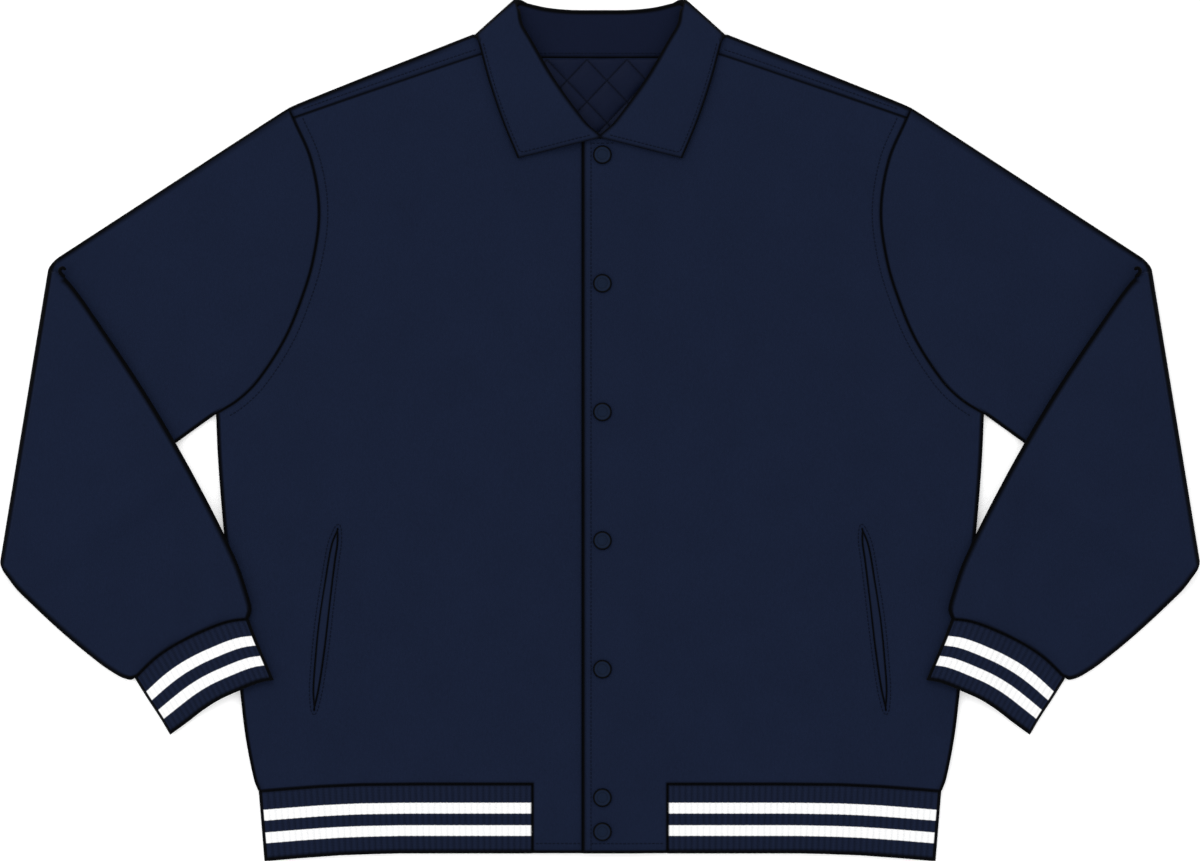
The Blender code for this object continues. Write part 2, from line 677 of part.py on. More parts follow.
def hem_rib():
    """The rib knit band from one tab round the back to the other, ribbed in front and plain beneath."""
    half_ribs = round(RIBBED_HEM / RIB_PITCH)
    across = 2 * half_ribs + 1
    outer, inner = [], []
    for part in HEM_ROW_PARTS:
        edge = HEM_HALF_WIDTHS[0] + (HEM_HALF_WIDTHS[1] - HEM_HALF_WIDTHS[0]) * part
        front_line = []
        for i, rise in enumerate(ribbed(across, 0.0, RIB_HEIGHT, 1)):
            out = TAB + (edge - HALF_STACK - TAB) * i / (across - 1)
            front_line.append((out, WALL + INNER_GAP + RIB_WALL + rise))
        turn = []
        for k in range(1, ROLL_STEPS + 1):
            angle = math.pi * k / (ROLL_STEPS + 1)
            turn.append((edge - HALF_STACK * (1 - math.sin(angle)), HALF_STACK * (1 + math.cos(angle)) * HEM_TURN))
        under = [(edge * (1 - k / HEM_BACK_COLUMNS), 0.0) for k in range(HEM_BACK_COLUMNS + 1)]
        under[0] = (edge - HALF_STACK, 0.0)
        profile = front_line + turn + under
        whole = [(-out, z) for out, z in profile] + [(out, z) for out, z in reversed(profile[:-1])]
        outer.append([hem_point(x, part, z) for x, z in whole])
        gap = INNER_GAP / 2
        low_side = [(edge * (1 - k / HEM_BACK_COLUMNS), WALL) for k in range(HEM_BACK_COLUMNS + 1)]
        low_side[0] = (edge - HALF_STACK, WALL)
        high_side = [(TAB + (edge - HALF_STACK - TAB) * k / HEM_BACK_COLUMNS, WALL + INNER_GAP)
                     for k in range(HEM_BACK_COLUMNS + 1)]
        profile = high_side + [(edge - HALF_STACK + gap, HALF_STACK)] + low_side
        whole = [(-out, z) for out, z in profile] + [(out, z) for out, z in reversed(profile[:-1])]
        inner.append([hem_point(x, part, z) for x, z in whole])
    return closed_wall("hem_rib", outer, inner, False, rib_knit())


def hem_point(x, part, z):
    """A point of the hem band, part of the way from its seam to its lower edge."""
    out = abs(x)
    top = height_of(HEM_SEAM, out) - SEAM_GAP / 2
    low = height_of(HEM_EDGE, out)
    return Vector((x, top + (low - top) * part - LENGTH / 2, z)) * MM


# ---- collar and lining ----------------------------------------------------------------------------------------

def folded_band(name, front_grid, back_grid, front_z, back_z, starts, ends, wall, inset):
    """A collar band round the neck: over the fronts, folded at each side of the neck, and under or behind it.

    Grids run from the fold to the centre, rows from the roll line outward. starts and ends are how far along
    the fold line the first and last rows lie, above and below the fold.
    """
    top, bottom = Vector(COLLAR_FOLD[0]), Vector(COLLAR_FOLD[1])
    along = (bottom - top).normalized()
    toward = Vector((along.y, -along.x))
    if toward.x > 0:
        toward = -toward
    rows = len(front_grid)
    points = []
    for j in range(rows):
        halves = {side: band_half(j / (rows - 1), front_grid[j], back_grid[j], front_z(side), back_z, starts, ends,
                                  wall, inset, (top, along, toward)) for side in (-1, 1)}
        points += [place(-1, point.x, point.y, z) for point, z in halves[-1]]
        points += [place(1, point.x, point.y, z) for point, z in reversed(halves[1][:-1])]
    columns = len(points) // rows
    return panel(name, points, grid_faces(rows, columns), wall, shell_cloth())


def band_half(part, front_row, back_row, front_z, back_z, starts, ends, wall, inset, fold):
    """One row of half a collar band, from its front end round the fold to the centre back."""
    top, along, toward = fold
    line = [(point, front_z(point) + wall / 2) for point in reversed(front_row)]
    high = line[-1][1]
    low = back_z(back_row[0]) + wall / 2
    radius, middle = (high - low) / 2, (high + low) / 2
    for k in range(1, ROLL_STEPS):
        angle = math.pi * k / ROLL_STEPS
        turn = smooth(k / ROLL_STEPS)
        first = starts[0] + (starts[1] - starts[0]) * turn
        last = ends[0] + (ends[1] - ends[0]) * turn
        flat = top + along * (first + (last - first) * part)
        flat = flat + toward * (inset + (1 - math.sin(angle)) * radius + wall / 2)
        line.append((flat, middle + radius * math.cos(angle)))
    line += [(point, back_z(point) + wall / 2) for point in back_row]
    return line


def collar():
    """The turned-down collar: two front leaves and the fall behind the neck, one piece."""
    rows = COLLAR_ROWS
    leaf = coons(flow(LEAF_SIDE, rows), flow(COLLAR_FRONT, rows),
                 flow(COLLAR_ROLL, LEAF_COLUMNS), flow(COLLAR_EDGE, LEAF_COLUMNS))
    fall = coons(flow(FALL_SIDE, rows), flow((FALL_RIM[-1], FALL_EDGE[-1]), rows),
                 flow(FALL_RIM, FALL_COLUMNS), flow(FALL_EDGE, FALL_COLUMNS))
    return folded_band("collar", leaf, fall, leaf_base, lambda point: 0.0, COLLAR_STARTS, COLLAR_ENDS,
                       COLLAR_WALL, 0.0)


def collar_stand():
    """The stand inside the collar, from the neck seam up to the roll line."""
    rows = STAND_ROWS
    neck_front = [point + Vector(STAND_TO_FRONT) for point in flow(FRONT_NECK, FRONT_NECK_COLUMNS + 1)[:-1]]
    front_grid = coons(flow((STAND_ROLL[0], neck_front[0]), rows), flow((STAND_ROLL[-1], neck_front[-1]), rows),
                       flow(STAND_ROLL, FRONT_NECK_COLUMNS), neck_front)
    neck_back = [point + Vector(STAND_TO_BACK) for point in flow(BACK_NECK, FALL_COLUMNS)]
    back_grid = coons(flow((STAND_RIM[0], neck_back[0]), rows), flow((STAND_RIM[-1], neck_back[-1]), rows),
                      flow(STAND_RIM, FALL_COLUMNS), neck_back)
    return folded_band("collar_stand", front_grid, back_grid, lambda side: front_base, back_base,
                       STAND_STARTS, STAND_ENDS, WALL, STAND_INSET)


def back_lining():
    """The quilted lining where the neck shows it: diamonds raised over a plain inside."""
    width, top, low = LINING[0][0], LINING[0][1], LINING[1][1]
    cell = QUILT_PITCH / 4
    columns = round(2 * width / cell)
    rows = round((top - low) / cell)
    outer, inner = [], []
    for j in range(rows + 1):
        up = low + (top - low) * j / rows
        line = []
        for i in range(columns + 1):
            out = width - 2 * width * i / columns
            first = ((i + j) / 4) % 1.0
            second = ((i - j) / 4) % 1.0
            puff = math.sin(math.pi * first) * math.sin(math.pi * second)
            rise = QUILT_HEIGHT * puff ** 0.7 if puff > 0 else 0.0
            line.append(place(-1, out, up, back_base((out, up)) + WALL + LAY_GAP + LINING_WALL + rise))
        outer.append(line)
    for j in range(LINING_ROWS + 1):
        up = low + (top - low) * j / LINING_ROWS
        outs = [width - 2 * width * i / LINING_COLUMNS for i in range(LINING_COLUMNS + 1)]
        inner.append([place(-1, out, up, back_base((out, up)) + WALL + LAY_GAP) for out in outs])
    return closed_wall("back_lining", outer, inner, False, lining_satin())


# ---- pockets and snaps ----------------------------------------------------------------------------------------

def welt(name, side):
    """A pocket welt: a narrow lens of doubled cloth on the front."""
    outline = bpy.data.curves.new(name, "CURVE")
    outline.dimensions = "2D"
    outline.fill_mode = "BOTH"
    outline.extrude = WELT_WALL / 2 * MM
    points = flow(WELT_LEFT, WELT_POINTS)[:-1] + flow(WELT_RIGHT, WELT_POINTS)[:-1]
    spline = outline.splines.new("POLY")
    spline.points.add(len(points) - 1)
    for target, point in zip(spline.points, points):
        flat = place(side, point.x, point.y, 0)
        target.co = (flat.x, flat.y, 0, 1)
    spline.use_cyclic_u = True
    made = bpy.data.objects.new(name, outline)
    JACKET.objects.link(made)
    made.data.materials.append(shell_cloth())
    made.location.z = (STACK + LAY_GAP / 2 + WELT_WALL / 2) * MM
    return made


def snap(number, up):
    """A pressed snap cap: a turned profile with a rolled rim round a shallow dish."""
    mesh = bpy.data.meshes.new(f"snap_{number}")
    corners = [(x * MM, 0, z * MM) for x, z in SNAP_PROFILE]
    mesh.from_pydata(corners, [(k, k + 1) for k in range(len(corners) - 1)], [])
    made = add_object(f"snap_{number}", mesh, snap_enamel())
    turn = made.modifiers.new("turned", "SCREW")
    turn.steps = SNAP_SIDES
    turn.render_steps = SNAP_SIDES
    turn.use_merge_vertices = True
    turn.merge_threshold = WELD * MM
    reach = SNAP_DIAMETER / 2
    corners = [(SNAP_OUT + x, up + y) for x in (-reach, reach) for y in (-reach, reach)]
    cloth = max(front_base(corner) + lap_lift(corner) for corner in corners)
    made.location = place(1, SNAP_OUT, up, cloth + WALL + SEAM_GAP)
    return made


def build():
    for old in list(bpy.data.objects):
        bpy.data.objects.remove(old, do_unlink=True)
    bpy.context.scene.collection.children.link(JACKET)
    back()
    for word, side in (("right", -1), ("left", 1)):
        front(f"front_{word}", side, upper=side > 0)
        sleeve(f"sleeve_{word}", side)
        cuff(f"cuff_{word}", side)
        welt(f"welt_{word}", side)
    hem_rib()
    collar()
    collar_stand()
    back_lining()
    for number, up in enumerate(SNAP_UPS, 1):
        snap(number, up)


build()
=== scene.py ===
"""Varsity jacket laid flat: cloth, rib knit, quilted lining, stitching and snaps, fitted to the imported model.

Run as a script. Lengths in the tables are millimetres. A pattern point is (out, up): its distance from the
centre line and its height above the lowest point of the hem. side is -1 for the wearer's right half, at -X,
and +1 for the left half.
"""
import math

import bmesh
import bpy
import numpy as np
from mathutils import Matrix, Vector
from mathutils.bvhtree import BVHTree

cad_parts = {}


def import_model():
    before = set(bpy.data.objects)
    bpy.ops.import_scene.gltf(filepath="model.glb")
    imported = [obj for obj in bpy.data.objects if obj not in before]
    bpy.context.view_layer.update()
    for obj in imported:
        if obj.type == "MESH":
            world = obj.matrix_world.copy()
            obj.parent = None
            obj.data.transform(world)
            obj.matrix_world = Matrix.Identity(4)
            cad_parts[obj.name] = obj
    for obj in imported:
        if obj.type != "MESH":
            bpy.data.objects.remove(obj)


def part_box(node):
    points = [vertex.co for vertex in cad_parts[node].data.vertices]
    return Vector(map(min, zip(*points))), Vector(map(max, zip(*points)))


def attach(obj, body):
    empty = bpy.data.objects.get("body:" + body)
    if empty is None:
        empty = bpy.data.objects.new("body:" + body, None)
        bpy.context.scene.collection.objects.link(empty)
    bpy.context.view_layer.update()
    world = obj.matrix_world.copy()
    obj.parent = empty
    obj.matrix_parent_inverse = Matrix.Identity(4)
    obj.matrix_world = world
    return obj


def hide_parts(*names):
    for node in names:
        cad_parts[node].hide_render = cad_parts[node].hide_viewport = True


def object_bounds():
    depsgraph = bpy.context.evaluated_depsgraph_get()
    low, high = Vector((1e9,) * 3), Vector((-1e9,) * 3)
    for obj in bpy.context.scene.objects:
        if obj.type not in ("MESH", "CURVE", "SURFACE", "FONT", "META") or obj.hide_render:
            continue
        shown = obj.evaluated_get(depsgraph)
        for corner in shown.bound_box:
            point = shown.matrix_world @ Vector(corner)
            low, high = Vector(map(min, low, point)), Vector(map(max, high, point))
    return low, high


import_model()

bl_info = {
    "name": "Varsity jacket",
    "version": (1, 0, 0),
    "blender": (4, 5, 0),
    "location": "3D View > Sidebar > Jacket",
    "description": "Makes a varsity jacket lying flat, piece by piece",
    "category": "Add Mesh",
}

CAD_BOX = [[float(value) for value in corner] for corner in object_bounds()]
MM = 0.001
MIDDLE = -CAD_BOX[0][1] / MM        # from the lowest point of the hem to the middle of the outline
SIDES = {-1: "right", 1: "left"}    # the wearer's

# Cloth
WALL = 2.5
INNER_GAP = 1.0
LAY_GAP = 0.5
STACK = 2 * WALL + INNER_GAP
HALF_STACK = STACK / 2
COLLAR_WALL = 2.6
RIB_WALL = 1.8
LINING_WALL = 1.2
QUILT_HEIGHT = 1.5
KNIT_WALL = RIB_WALL * 0.8          # the scene's knit, under its ribs

# Centre front
LAP = 14.0
LAP_CLEAR = 24.0
LAP_END = 50.0
TAB = 56.0
TAB_LOW = 6.4
HEM_HEIGHT = 58.2
HEM_OUT = 284.4                     # where the hems of the panels end at the side
HEM_HALF_WIDTHS = (285.0, 280.2)    # of the hem band, at its seam and at its lower edge

# How far one layer's rise over another reaches beside it
UNDER_COLLAR = ((0, 660), (95, 717.5))      # where the back lies on the turned-down collar
COLLAR_REACH = 80.0
LINING_EASE = 4.0       # round the lining, where the fronts lie at their full height
LINING_REACH = 70.0
FOREARM_REACH = 46.0    # the forearm leaves the floor this far from the cloth that it lies on
FOREARM_RISE = 30.0     # and is at its full height after this much

# Outlines: (out, up)
SHOULDER_FOLD = ((259.2, 627.9), (250.0, 632.0), (183.3, 658.7), (120.0, 683.3), (107.5, 688.1),
                 (103.8, 689.2), (100.5, 688.0), (93.0, 685.0))
SHOULDER_SEAM = ((255.0, 619.6), (183.0, 644.5), (99.0, 672.5), (90.0, 674.0))
BACK_NECK = ((93.0, 685.0), (82.0, 674.0), (64.0, 669.5), (40.0, 669.0), (0.0, 668.8))
FRONT_NECK = ((90.0, 674.0), (80.0, 645.0), (58.0, 620.0), (30.0, 605.5), (10.0, 602.4), (-LAP, 602.0))
ARMHOLE = ((259.2, 627.9), (254.6, 617.5), (240.4, 584.2), (233.8, 542.0), (238.8, 500.8), (248.8, 467.5),
           (262.9, 434.2), (284.6, 400.8), (301.3, 384.2), (320.0, 372.5))
BODY_SIDE = ((320.0, 372.5), (318.3, 334.2), (314.2, 281.7), (306.5, 205.0), (299.2, 134.2), (295.0, 100.8),
             (288.3, 67.5), (284.8, 58.5))
HEM_SEAM = ((284.8, 58.5), (266.7, 60.0), (233.3, 62.5), (200.0, 64.0), (150.0, 64.5), (-LAP, 64.5))
HEM_EDGE = ((279.4, -0.3), (265.0, 0.9), (250.0, 2.2), (216.7, 4.6), (190.0, 5.6), (166.7, 6.2), (-LAP, 6.2))
SLEEVE_TOP = ((259.2, 627.9), (266.7, 623.3), (358.0, 564.0), (451.9, 502.9))
SLEEVE_UNDER = ((320.0, 372.5), (405.0, 311.5), (493.7, 249.2))
CREASE = ((459.0, 498.3), (500.8, 244.2))
FOREARM_INNER = ((454.2, 491.4), (443.3, 484.2), (418.8, 450.8), (374.6, 384.2), (336.3, 317.5),
                 (302.9, 250.8), (292.0, 219.0), (290.0, 209.0), (292.5, 202.0))
FOREARM_OUTER = ((495.4, 239.0), (483.7, 223.8), (450.4, 192.0), (417.2, 164.5), (401.2, 154.0),
                 (394.0, 151.2), (390.2, 150.9), (388.0, 152.4))
CUFF_SEAM = ((292.5, 202.0), (305.6, 200.6), (316.7, 197.6), (330.6, 192.0), (344.4, 185.6), (358.3, 178.0),
             (372.2, 167.9), (388.0, 152.4))
CUFF_EDGE = ((271.7, 151.0), (283.3, 148.8), (300.0, 142.2), (316.7, 134.6), (330.6, 125.8), (343.2, 116.1),
             (358.4, 105.0))
CUFF_INNER = ((292.5, 202.0), (286.2, 185.2), (279.0, 168.2), (271.7, 151.0))
CUFF_OUTER = ((388.0, 152.4), (377.1, 134.9), (366.6, 118.9), (358.4, 105.0))
COLLAR_FOLD = ((71.0, 718.6), (103.5, 689.4))
COLLAR_ROLL = ((68.0, 708.0), (66.0, 697.0), (58.8, 684.2), (39.2, 650.8), (14.6, 617.0), (1.0, 602.1))
COLLAR_EDGE = ((100.8, 680.4), (92.9, 650.8), (81.7, 617.5), (68.5, 585.4))
COLLAR_FRONT = ((1.0, 602.1), (16.7, 598.3), (45.8, 591.0), (68.5, 585.4))
FALL_RIM = ((62.0, 714.6), (45.8, 710.7), (25.0, 708.5), (0.0, 708.2))
FALL_EDGE = ((96.4, 684.5), (75.0, 671.0), (45.0, 661.0), (0.0, 658.0))
LINING = ((80.0, 668.0), (80.0, 592.0))
WELT_LEFT = ((238.3, 124.2), (239.6, 142.0), (238.0, 167.0), (234.8, 200.0), (229.6, 234.0), (224.2, 264.0),
             (218.3, 278.3))
WELT_RIGHT = ((218.3, 278.3), (217.9, 266.0), (220.0, 250.8), (224.0, 217.5), (229.0, 175.0), (234.0, 142.0),
              (238.3, 124.2))


# ---- curves and grids ----------------------------------------------------------------------------

CURVE_PARTS = 24                    # from one given point of a curve to the next
CLOSE_ROWS = (0.0, 1.0, 2.0, 3.4)   # a grid's first and last rows, from its edge


def travelled(line):
    """How far along a line each of its points is."""
    return np.concatenate([[0], np.cumsum(np.linalg.norm(np.diff(line, axis=0), axis=1))])


def points_at(line, reached, places):
    """Points of a line at places along it, given how far along its own points are."""
    return np.column_stack([np.interp(places, reached, line[:, k]) for k in range(line.shape[1])])


def unit(vectors):
    return vectors / np.linalg.norm(vectors, axis=1)[:, None]


def straight(start, end, at):
    """Points between two points, at fractions of the way."""
    return np.array(start) + at[:, None] * (np.array(end) - np.array(start))


def flow(points, at=None, step=None):
    """Points along a smooth curve through the given ones, at shares of its length or about a step apart."""
    table = np.array(points, float)
    before = np.vstack([table[:1], table[:-1]])
    later = np.vstack([table[2:], table[-1:], table[-1:]])
    dense = []
    for start, end, prior, follow in zip(table[:-1], table[1:], before[:-1], later[:-1]):
        span = np.linalg.norm(end - start)
        leave = (end - prior) / np.linalg.norm(end - prior) * span
        arrive = (follow - start) / np.linalg.norm(follow - start) * span
        t = np.linspace(0, 1, CURVE_PARTS, endpoint=False)[:, None]
        dense.append((2 * t**3 - 3 * t**2 + 1) * start + (t**3 - 2 * t**2 + t) * leave
                     + (3 * t**2 - 2 * t**3) * end + (t**3 - t**2) * arrive)
    dense = np.vstack(dense + [table[-1:]])
    reached = travelled(dense)
    if step:
        at = np.linspace(0, 1, max(2, round(reached[-1] / step) + 1))
    return points_at(dense, reached, np.asarray(at) * reached[-1])


def length_of(line):
    return float(np.sum(np.linalg.norm(np.diff(np.asarray(line, float), axis=0), axis=1)))


def graded(length, step, first=CLOSE_ROWS, last=CLOSE_ROWS):
    """Fractions of a length: close together at both ends, a step apart between."""
    low, high = first[-1], length - last[-1]
    middle = np.linspace(low, high, max(2, round((high - low) / step) + 1))
    return np.concatenate([first[:-1], middle, [length - value for value in reversed(last[:-1])]]) / length


def coons(left, right, bottom, top, v, u):
    """A grid of points between four curves that share their corners; rows at v, columns at u."""
    v, u = v[:, None, None], u[None, :, None]
    across = (1 - u) * left[:, None] + u * right[:, None]
    along = (1 - v) * bottom[None] + v * top[None]
    corners = ((1 - u) * (1 - v) * bottom[0] + u * (1 - v) * bottom[-1]
               + (1 - u) * v * top[0] + u * v * top[-1])
    return across + along - corners


def aside(line, distance):
    """A line of points moved to its right by a distance."""
    line = np.asarray(line, float)
    along = unit(np.gradient(line, axis=0))
    return line + np.column_stack([along[:, 1], -along[:, 0]]) * distance


def smooth(t):
    t = np.clip(t, 0, 1)
    return t * t * (3 - 2 * t)


def rising(value, over, start=0.0):
    """0 up to a start, then smoothly up to 1."""
    return smooth((value - start) / over)


def height_of(points, out):
    """The up of an outline at a distance out, straight between its points."""
    table = np.array(points, float)[::-1]
    return np.interp(out, table[:, 0], table[:, 1])


def near(points, line):
    """Distance from each point to the nearest point of a line."""
    flat = points.reshape(-1, 2)
    best = np.full(len(flat), np.inf)
    line = np.asarray(line, float)
    for a, b in zip(line[:-1], line[1:]):
        along = b - a
        t = np.clip(((flat - a) @ along) / (along @ along), 0, 1)
        best = np.minimum(best, np.linalg.norm(flat - a - t[:, None] * along, axis=1))
    return best.reshape(points.shape[:-1])


def apart(points, low, high):
    """Distance from each point to a rectangle."""
    across = np.maximum(np.maximum(low[0] - points[..., 0], points[..., 0] - high[0]), 0)
    along = np.maximum(np.maximum(low[1] - points[..., 1], points[..., 1] - high[1]), 0)
    return np.hypot(across, along)


# ---- how high each layer lies --------------------------------------------------------------------


def mirrored(points):
    return np.stack([np.abs(points[..., 0]), points[..., 1]], -1)


def back_base(points):
    """Underside of the back: on the floor, and over the turned-down collar at the neck."""
    return (COLLAR_WALL + LAY_GAP) * (1 - rising(apart(mirrored(points), *UNDER_COLLAR), COLLAR_REACH))


def front_base(points):
    """Underside of the fronts: on the back, and over the lining at the neck."""
    (out, top), (_, low) = LINING
    reach = apart(mirrored(points), (0, low - LINING_EASE), (out + LINING_EASE, top))
    lining = LINING_WALL + QUILT_HEIGHT + 2 * LAY_GAP - INNER_GAP
    return back_base(points) + WALL + INNER_GAP + lining * (1 - rising(reach, LINING_REACH))


def lap_lift(points):
    """How much the upper front is raised where it lies on the lower one."""
    return (WALL + LAY_GAP) * (1 - rising(points[..., 0], LAP_END - LAP_CLEAR, LAP_CLEAR))


def forearm_base(points):
    """Underside of the forearm: on the upper arm and the body, and on the floor between them."""
    start, end = np.array(SLEEVE_UNDER[0]), np.array(SLEEVE_UNDER[-1])
    along = (end - start) / np.linalg.norm(end - start)
    offset = points - start
    over_arm = offset[..., 1] * along[0] - offset[..., 0] * along[1]
    side = np.array(BODY_SIDE)[::-1]
    over_body = np.interp(points[..., 1], side[:, 1], side[:, 0]) - points[..., 0]
    return (STACK + LAY_GAP) * rising(np.maximum(over_arm, over_body), FOREARM_RISE, -FOREARM_REACH)


def world(side, points, z):
    """Pattern points and heights as world points in metres."""
    return np.stack([side * points[..., 0], points[..., 1] - MIDDLE, z], -1) * MM


def put(name, data, place=(0, 0, 0)):
    """A new object in the scene."""
    made = bpy.data.objects.new(name, data)
    made.location = place
    bpy.context.scene.collection.objects.link(made)
    return made


# ---- meshes --------------------------------------------------------------------------------------

FINE_WELD = 0.002                   # points closer than this are one point
WIDE_WELD = 0.05                    # and this where two halves of a piece meet
SHARP_EDGE = math.radians(60)       # edges that turn more than this are rounded
ABOVE_ALL = 0.1                     # in metres


class Cloth:
    """Grids of points gathered into one mesh, with values that the finishes read."""

    def __init__(self):
        self.points = []
        self.faces = []
        self.values = {}
        self.count = 0

    def grid(self, points, closed=False, **values):
        """Add a grid of world points, rows by columns. closed joins each row's ends."""
        rows, columns = points.shape[:2]
        numbers = self.count + np.arange(rows * columns).reshape(rows, columns)
        if closed:
            numbers = np.hstack([numbers, numbers[:, :1]])
        quads = np.stack([numbers[:-1, :-1], numbers[:-1, 1:], numbers[1:, 1:], numbers[1:, :-1]], -1)
        self.faces.append(quads.reshape(-1, 4))
        self.points.append(points.reshape(-1, 3))
        for name in set(values) | set(self.values):
            filled = np.broadcast_to(np.asarray(values.get(name, 0.0), float), (rows, columns)).reshape(-1)
            self.values.setdefault(name, [np.zeros(self.count)] if self.count else []).append(filled)
        self.count += rows * columns

    def make(self, name, finish, weld=FINE_WELD):
        """The mesh as an object with its finish, with points that meet welded."""
        mesh = bpy.data.meshes.new(name)
        mesh.from_pydata(np.vstack(self.points).tolist(), [], np.vstack(self.faces).tolist())
        for value_name, parts in self.values.items():
            layer = mesh.attributes.new(value_name, "FLOAT", "POINT")
            layer.data.foreach_set("value", np.concatenate(parts).astype(np.float32))
        mesh.materials.append(finish)
        made = put(name, mesh)
        made.modifiers.new("weld", "WELD").merge_threshold = weld * MM
        settle(made)
        face_outward(made)
        return made


def thicken(made, thickness, offset=0.0, round_edge=0.8):
    """Give a sheet its wall, with softly rounded edges."""
    wall = made.modifiers.new("wall", "SOLIDIFY")
    wall.thickness = thickness * MM
    wall.offset = offset
    wall.use_even_offset = False
    if round_edge:
        soft = made.modifiers.new("edge", "BEVEL")
        soft.width = round_edge * MM
        soft.segments = 2
        soft.limit_method = "ANGLE"
        soft.angle_limit = SHARP_EDGE
        soft.use_clamp_overlap = True
    return made


def line_with(made, thickness):
    """Give a sheet that is an outer face its wall, on its inner side."""
    return thicken(made, thickness, offset=-1.0, round_edge=0)


def settle(made):
    """Apply a piece's modifiers."""
    graph = bpy.context.evaluated_depsgraph_get()
    mesh = bpy.data.meshes.new_from_object(made.evaluated_get(graph))
    made.modifiers.clear()
    made.data = mesh


def face_outward(made):
    """Turn a sheet's faces the same way, with those on top facing up."""
    shape = bmesh.new()
    shape.from_mesh(made.data)
    bmesh.ops.recalc_face_normals(shape, faces=shape.faces)
    highest = max(shape.faces, key=lambda face: face.calc_center_median().z)
    if highest.normal.z < 0:
        bmesh.ops.reverse_faces(shape, faces=shape.faces)
    shape.to_mesh(made.data)
    shape.free()
    made.data.shade_smooth()


def above(pieces):
    """A tree of finished pieces, to drop small parts onto."""
    corners, faces = [], []
    graph = bpy.context.evaluated_depsgraph_get()
    for piece in pieces:
        mesh = piece.evaluated_get(graph).to_mesh()
        start = len(corners)
        corners += [tuple(vertex.co) for vertex in mesh.vertices]
        faces += [tuple(start + index for index in polygon.vertices) for polygon in mesh.polygons]
    return BVHTree.FromPolygons(corners, faces)


def drop(tree, x, y):
    """The highest point of the cloth at x, y."""
    hit = tree.ray_cast(Vector((x, y, ABOVE_ALL)), Vector((0, 0, -1)))[0]
    return hit.z if hit else None


# ---- finishes ------------------------------------------------------------------------------------

KNIT_ROW = 1.35         # from one row of loops to the next
KNIT_COLUMN = 1.25


def arithmetic(operation, swapped=False):
    """One of Python's operators as a Math node."""
    def apply(self, other):
        first, second = (other, self) if swapped else (self, other)
        return node(self.tree, "ShaderNodeMath", {"operation": operation}, {0: first, 1: second})
    return apply


class Wire:
    """A value in a material's nodes, with Python's operators."""

    def __init__(self, tree, output):
        self.tree = tree
        self.output = output

    __add__ = arithmetic("ADD")
    __radd__ = arithmetic("ADD", swapped=True)
    __sub__ = arithmetic("SUBTRACT")
    __rsub__ = arithmetic("SUBTRACT", swapped=True)
    __mul__ = arithmetic("MULTIPLY")
    __rmul__ = arithmetic("MULTIPLY", swapped=True)

    def sine(self):
        return node(self.tree, "ShaderNodeMath", {"operation": "SINE"}, {0: self})

    def ramp(self, low, high):
        """0 up to low, then smoothly up to 1 at high."""
        return node(self.tree, "ShaderNodeMapRange", {"interpolation_type": "SMOOTHSTEP"},
                    {0: self, 1: low, 2: high, 3: 0.0, 4: 1.0})

    def within(self, low, high, soft):
        """1 between low and high, with edges that are soft wide."""
        return self.ramp(low - soft, low + soft) - self.ramp(high - soft, high + soft)


def node(tree, kind, settings=None, sockets=None, output=0):
    """A shader node: its settings first, then its sockets' values or links. Gives one of its outputs."""
    made = tree.nodes.new(kind)
    for name, value in (settings or {}).items():
        setattr(made, name, value)
    for name, value in (sockets or {}).items():
        if isinstance(value, Wire):
            tree.links.new(value.output, made.inputs[name])
        else:
            made.inputs[name].default_value = value
    return Wire(tree, made.outputs[output])


def mix(tree, factor, first, second):
    """A colour between two colours."""
    first, second = [value if isinstance(value, Wire) else (*value[:3], 1) for value in (first, second)]
    return node(tree, "ShaderNodeMix", {"data_type": "RGBA"}, {0: factor, 6: first, 7: second}, 2)


def shades(tree, tone, colour, dark, light):
    """Between a darker and a lighter shade of a colour."""
    return mix(tree, tone, [value * dark for value in colour], [value * light for value in colour])


def place_on_cloth(tree, stretch=(1, 1, 1)):
    """Where a point is, in metres, stretched."""
    where = node(tree, "ShaderNodeTexCoord", output=3)
    return node(tree, "ShaderNodeVectorMath", {"operation": "MULTIPLY"}, {0: where, 1: stretch})


def value_of(tree, name):
    """A value that the piece's mesh holds."""
    return node(tree, "ShaderNodeAttribute", {"attribute_name": name}, output=2)


def noise(tree, where, scale, detail=3.0, roughness=0.55):
    return node(tree, "ShaderNodeTexNoise", {},
                {"Vector": where, "Scale": scale, "Detail": detail, "Roughness": roughness})


def new_finish(name, constants):
    """A material with its shader's constant values set. Gives the material, its tree and its shader."""
    finish = bpy.data.materials.new(name)
    finish.use_nodes = True
    tree = finish.node_tree
    shader = tree.nodes["Principled BSDF"]
    for socket, value in constants.items():
        shader.inputs[socket].default_value = value
    return finish, tree, shader


def feed(tree, shader, socket, wire):
    tree.links.new(wire.output, shader.inputs[socket])


def relief(tree, height, distance, strength):
    return node(tree, "ShaderNodeBump", {}, {"Height": height, "Distance": distance, "Strength": strength})


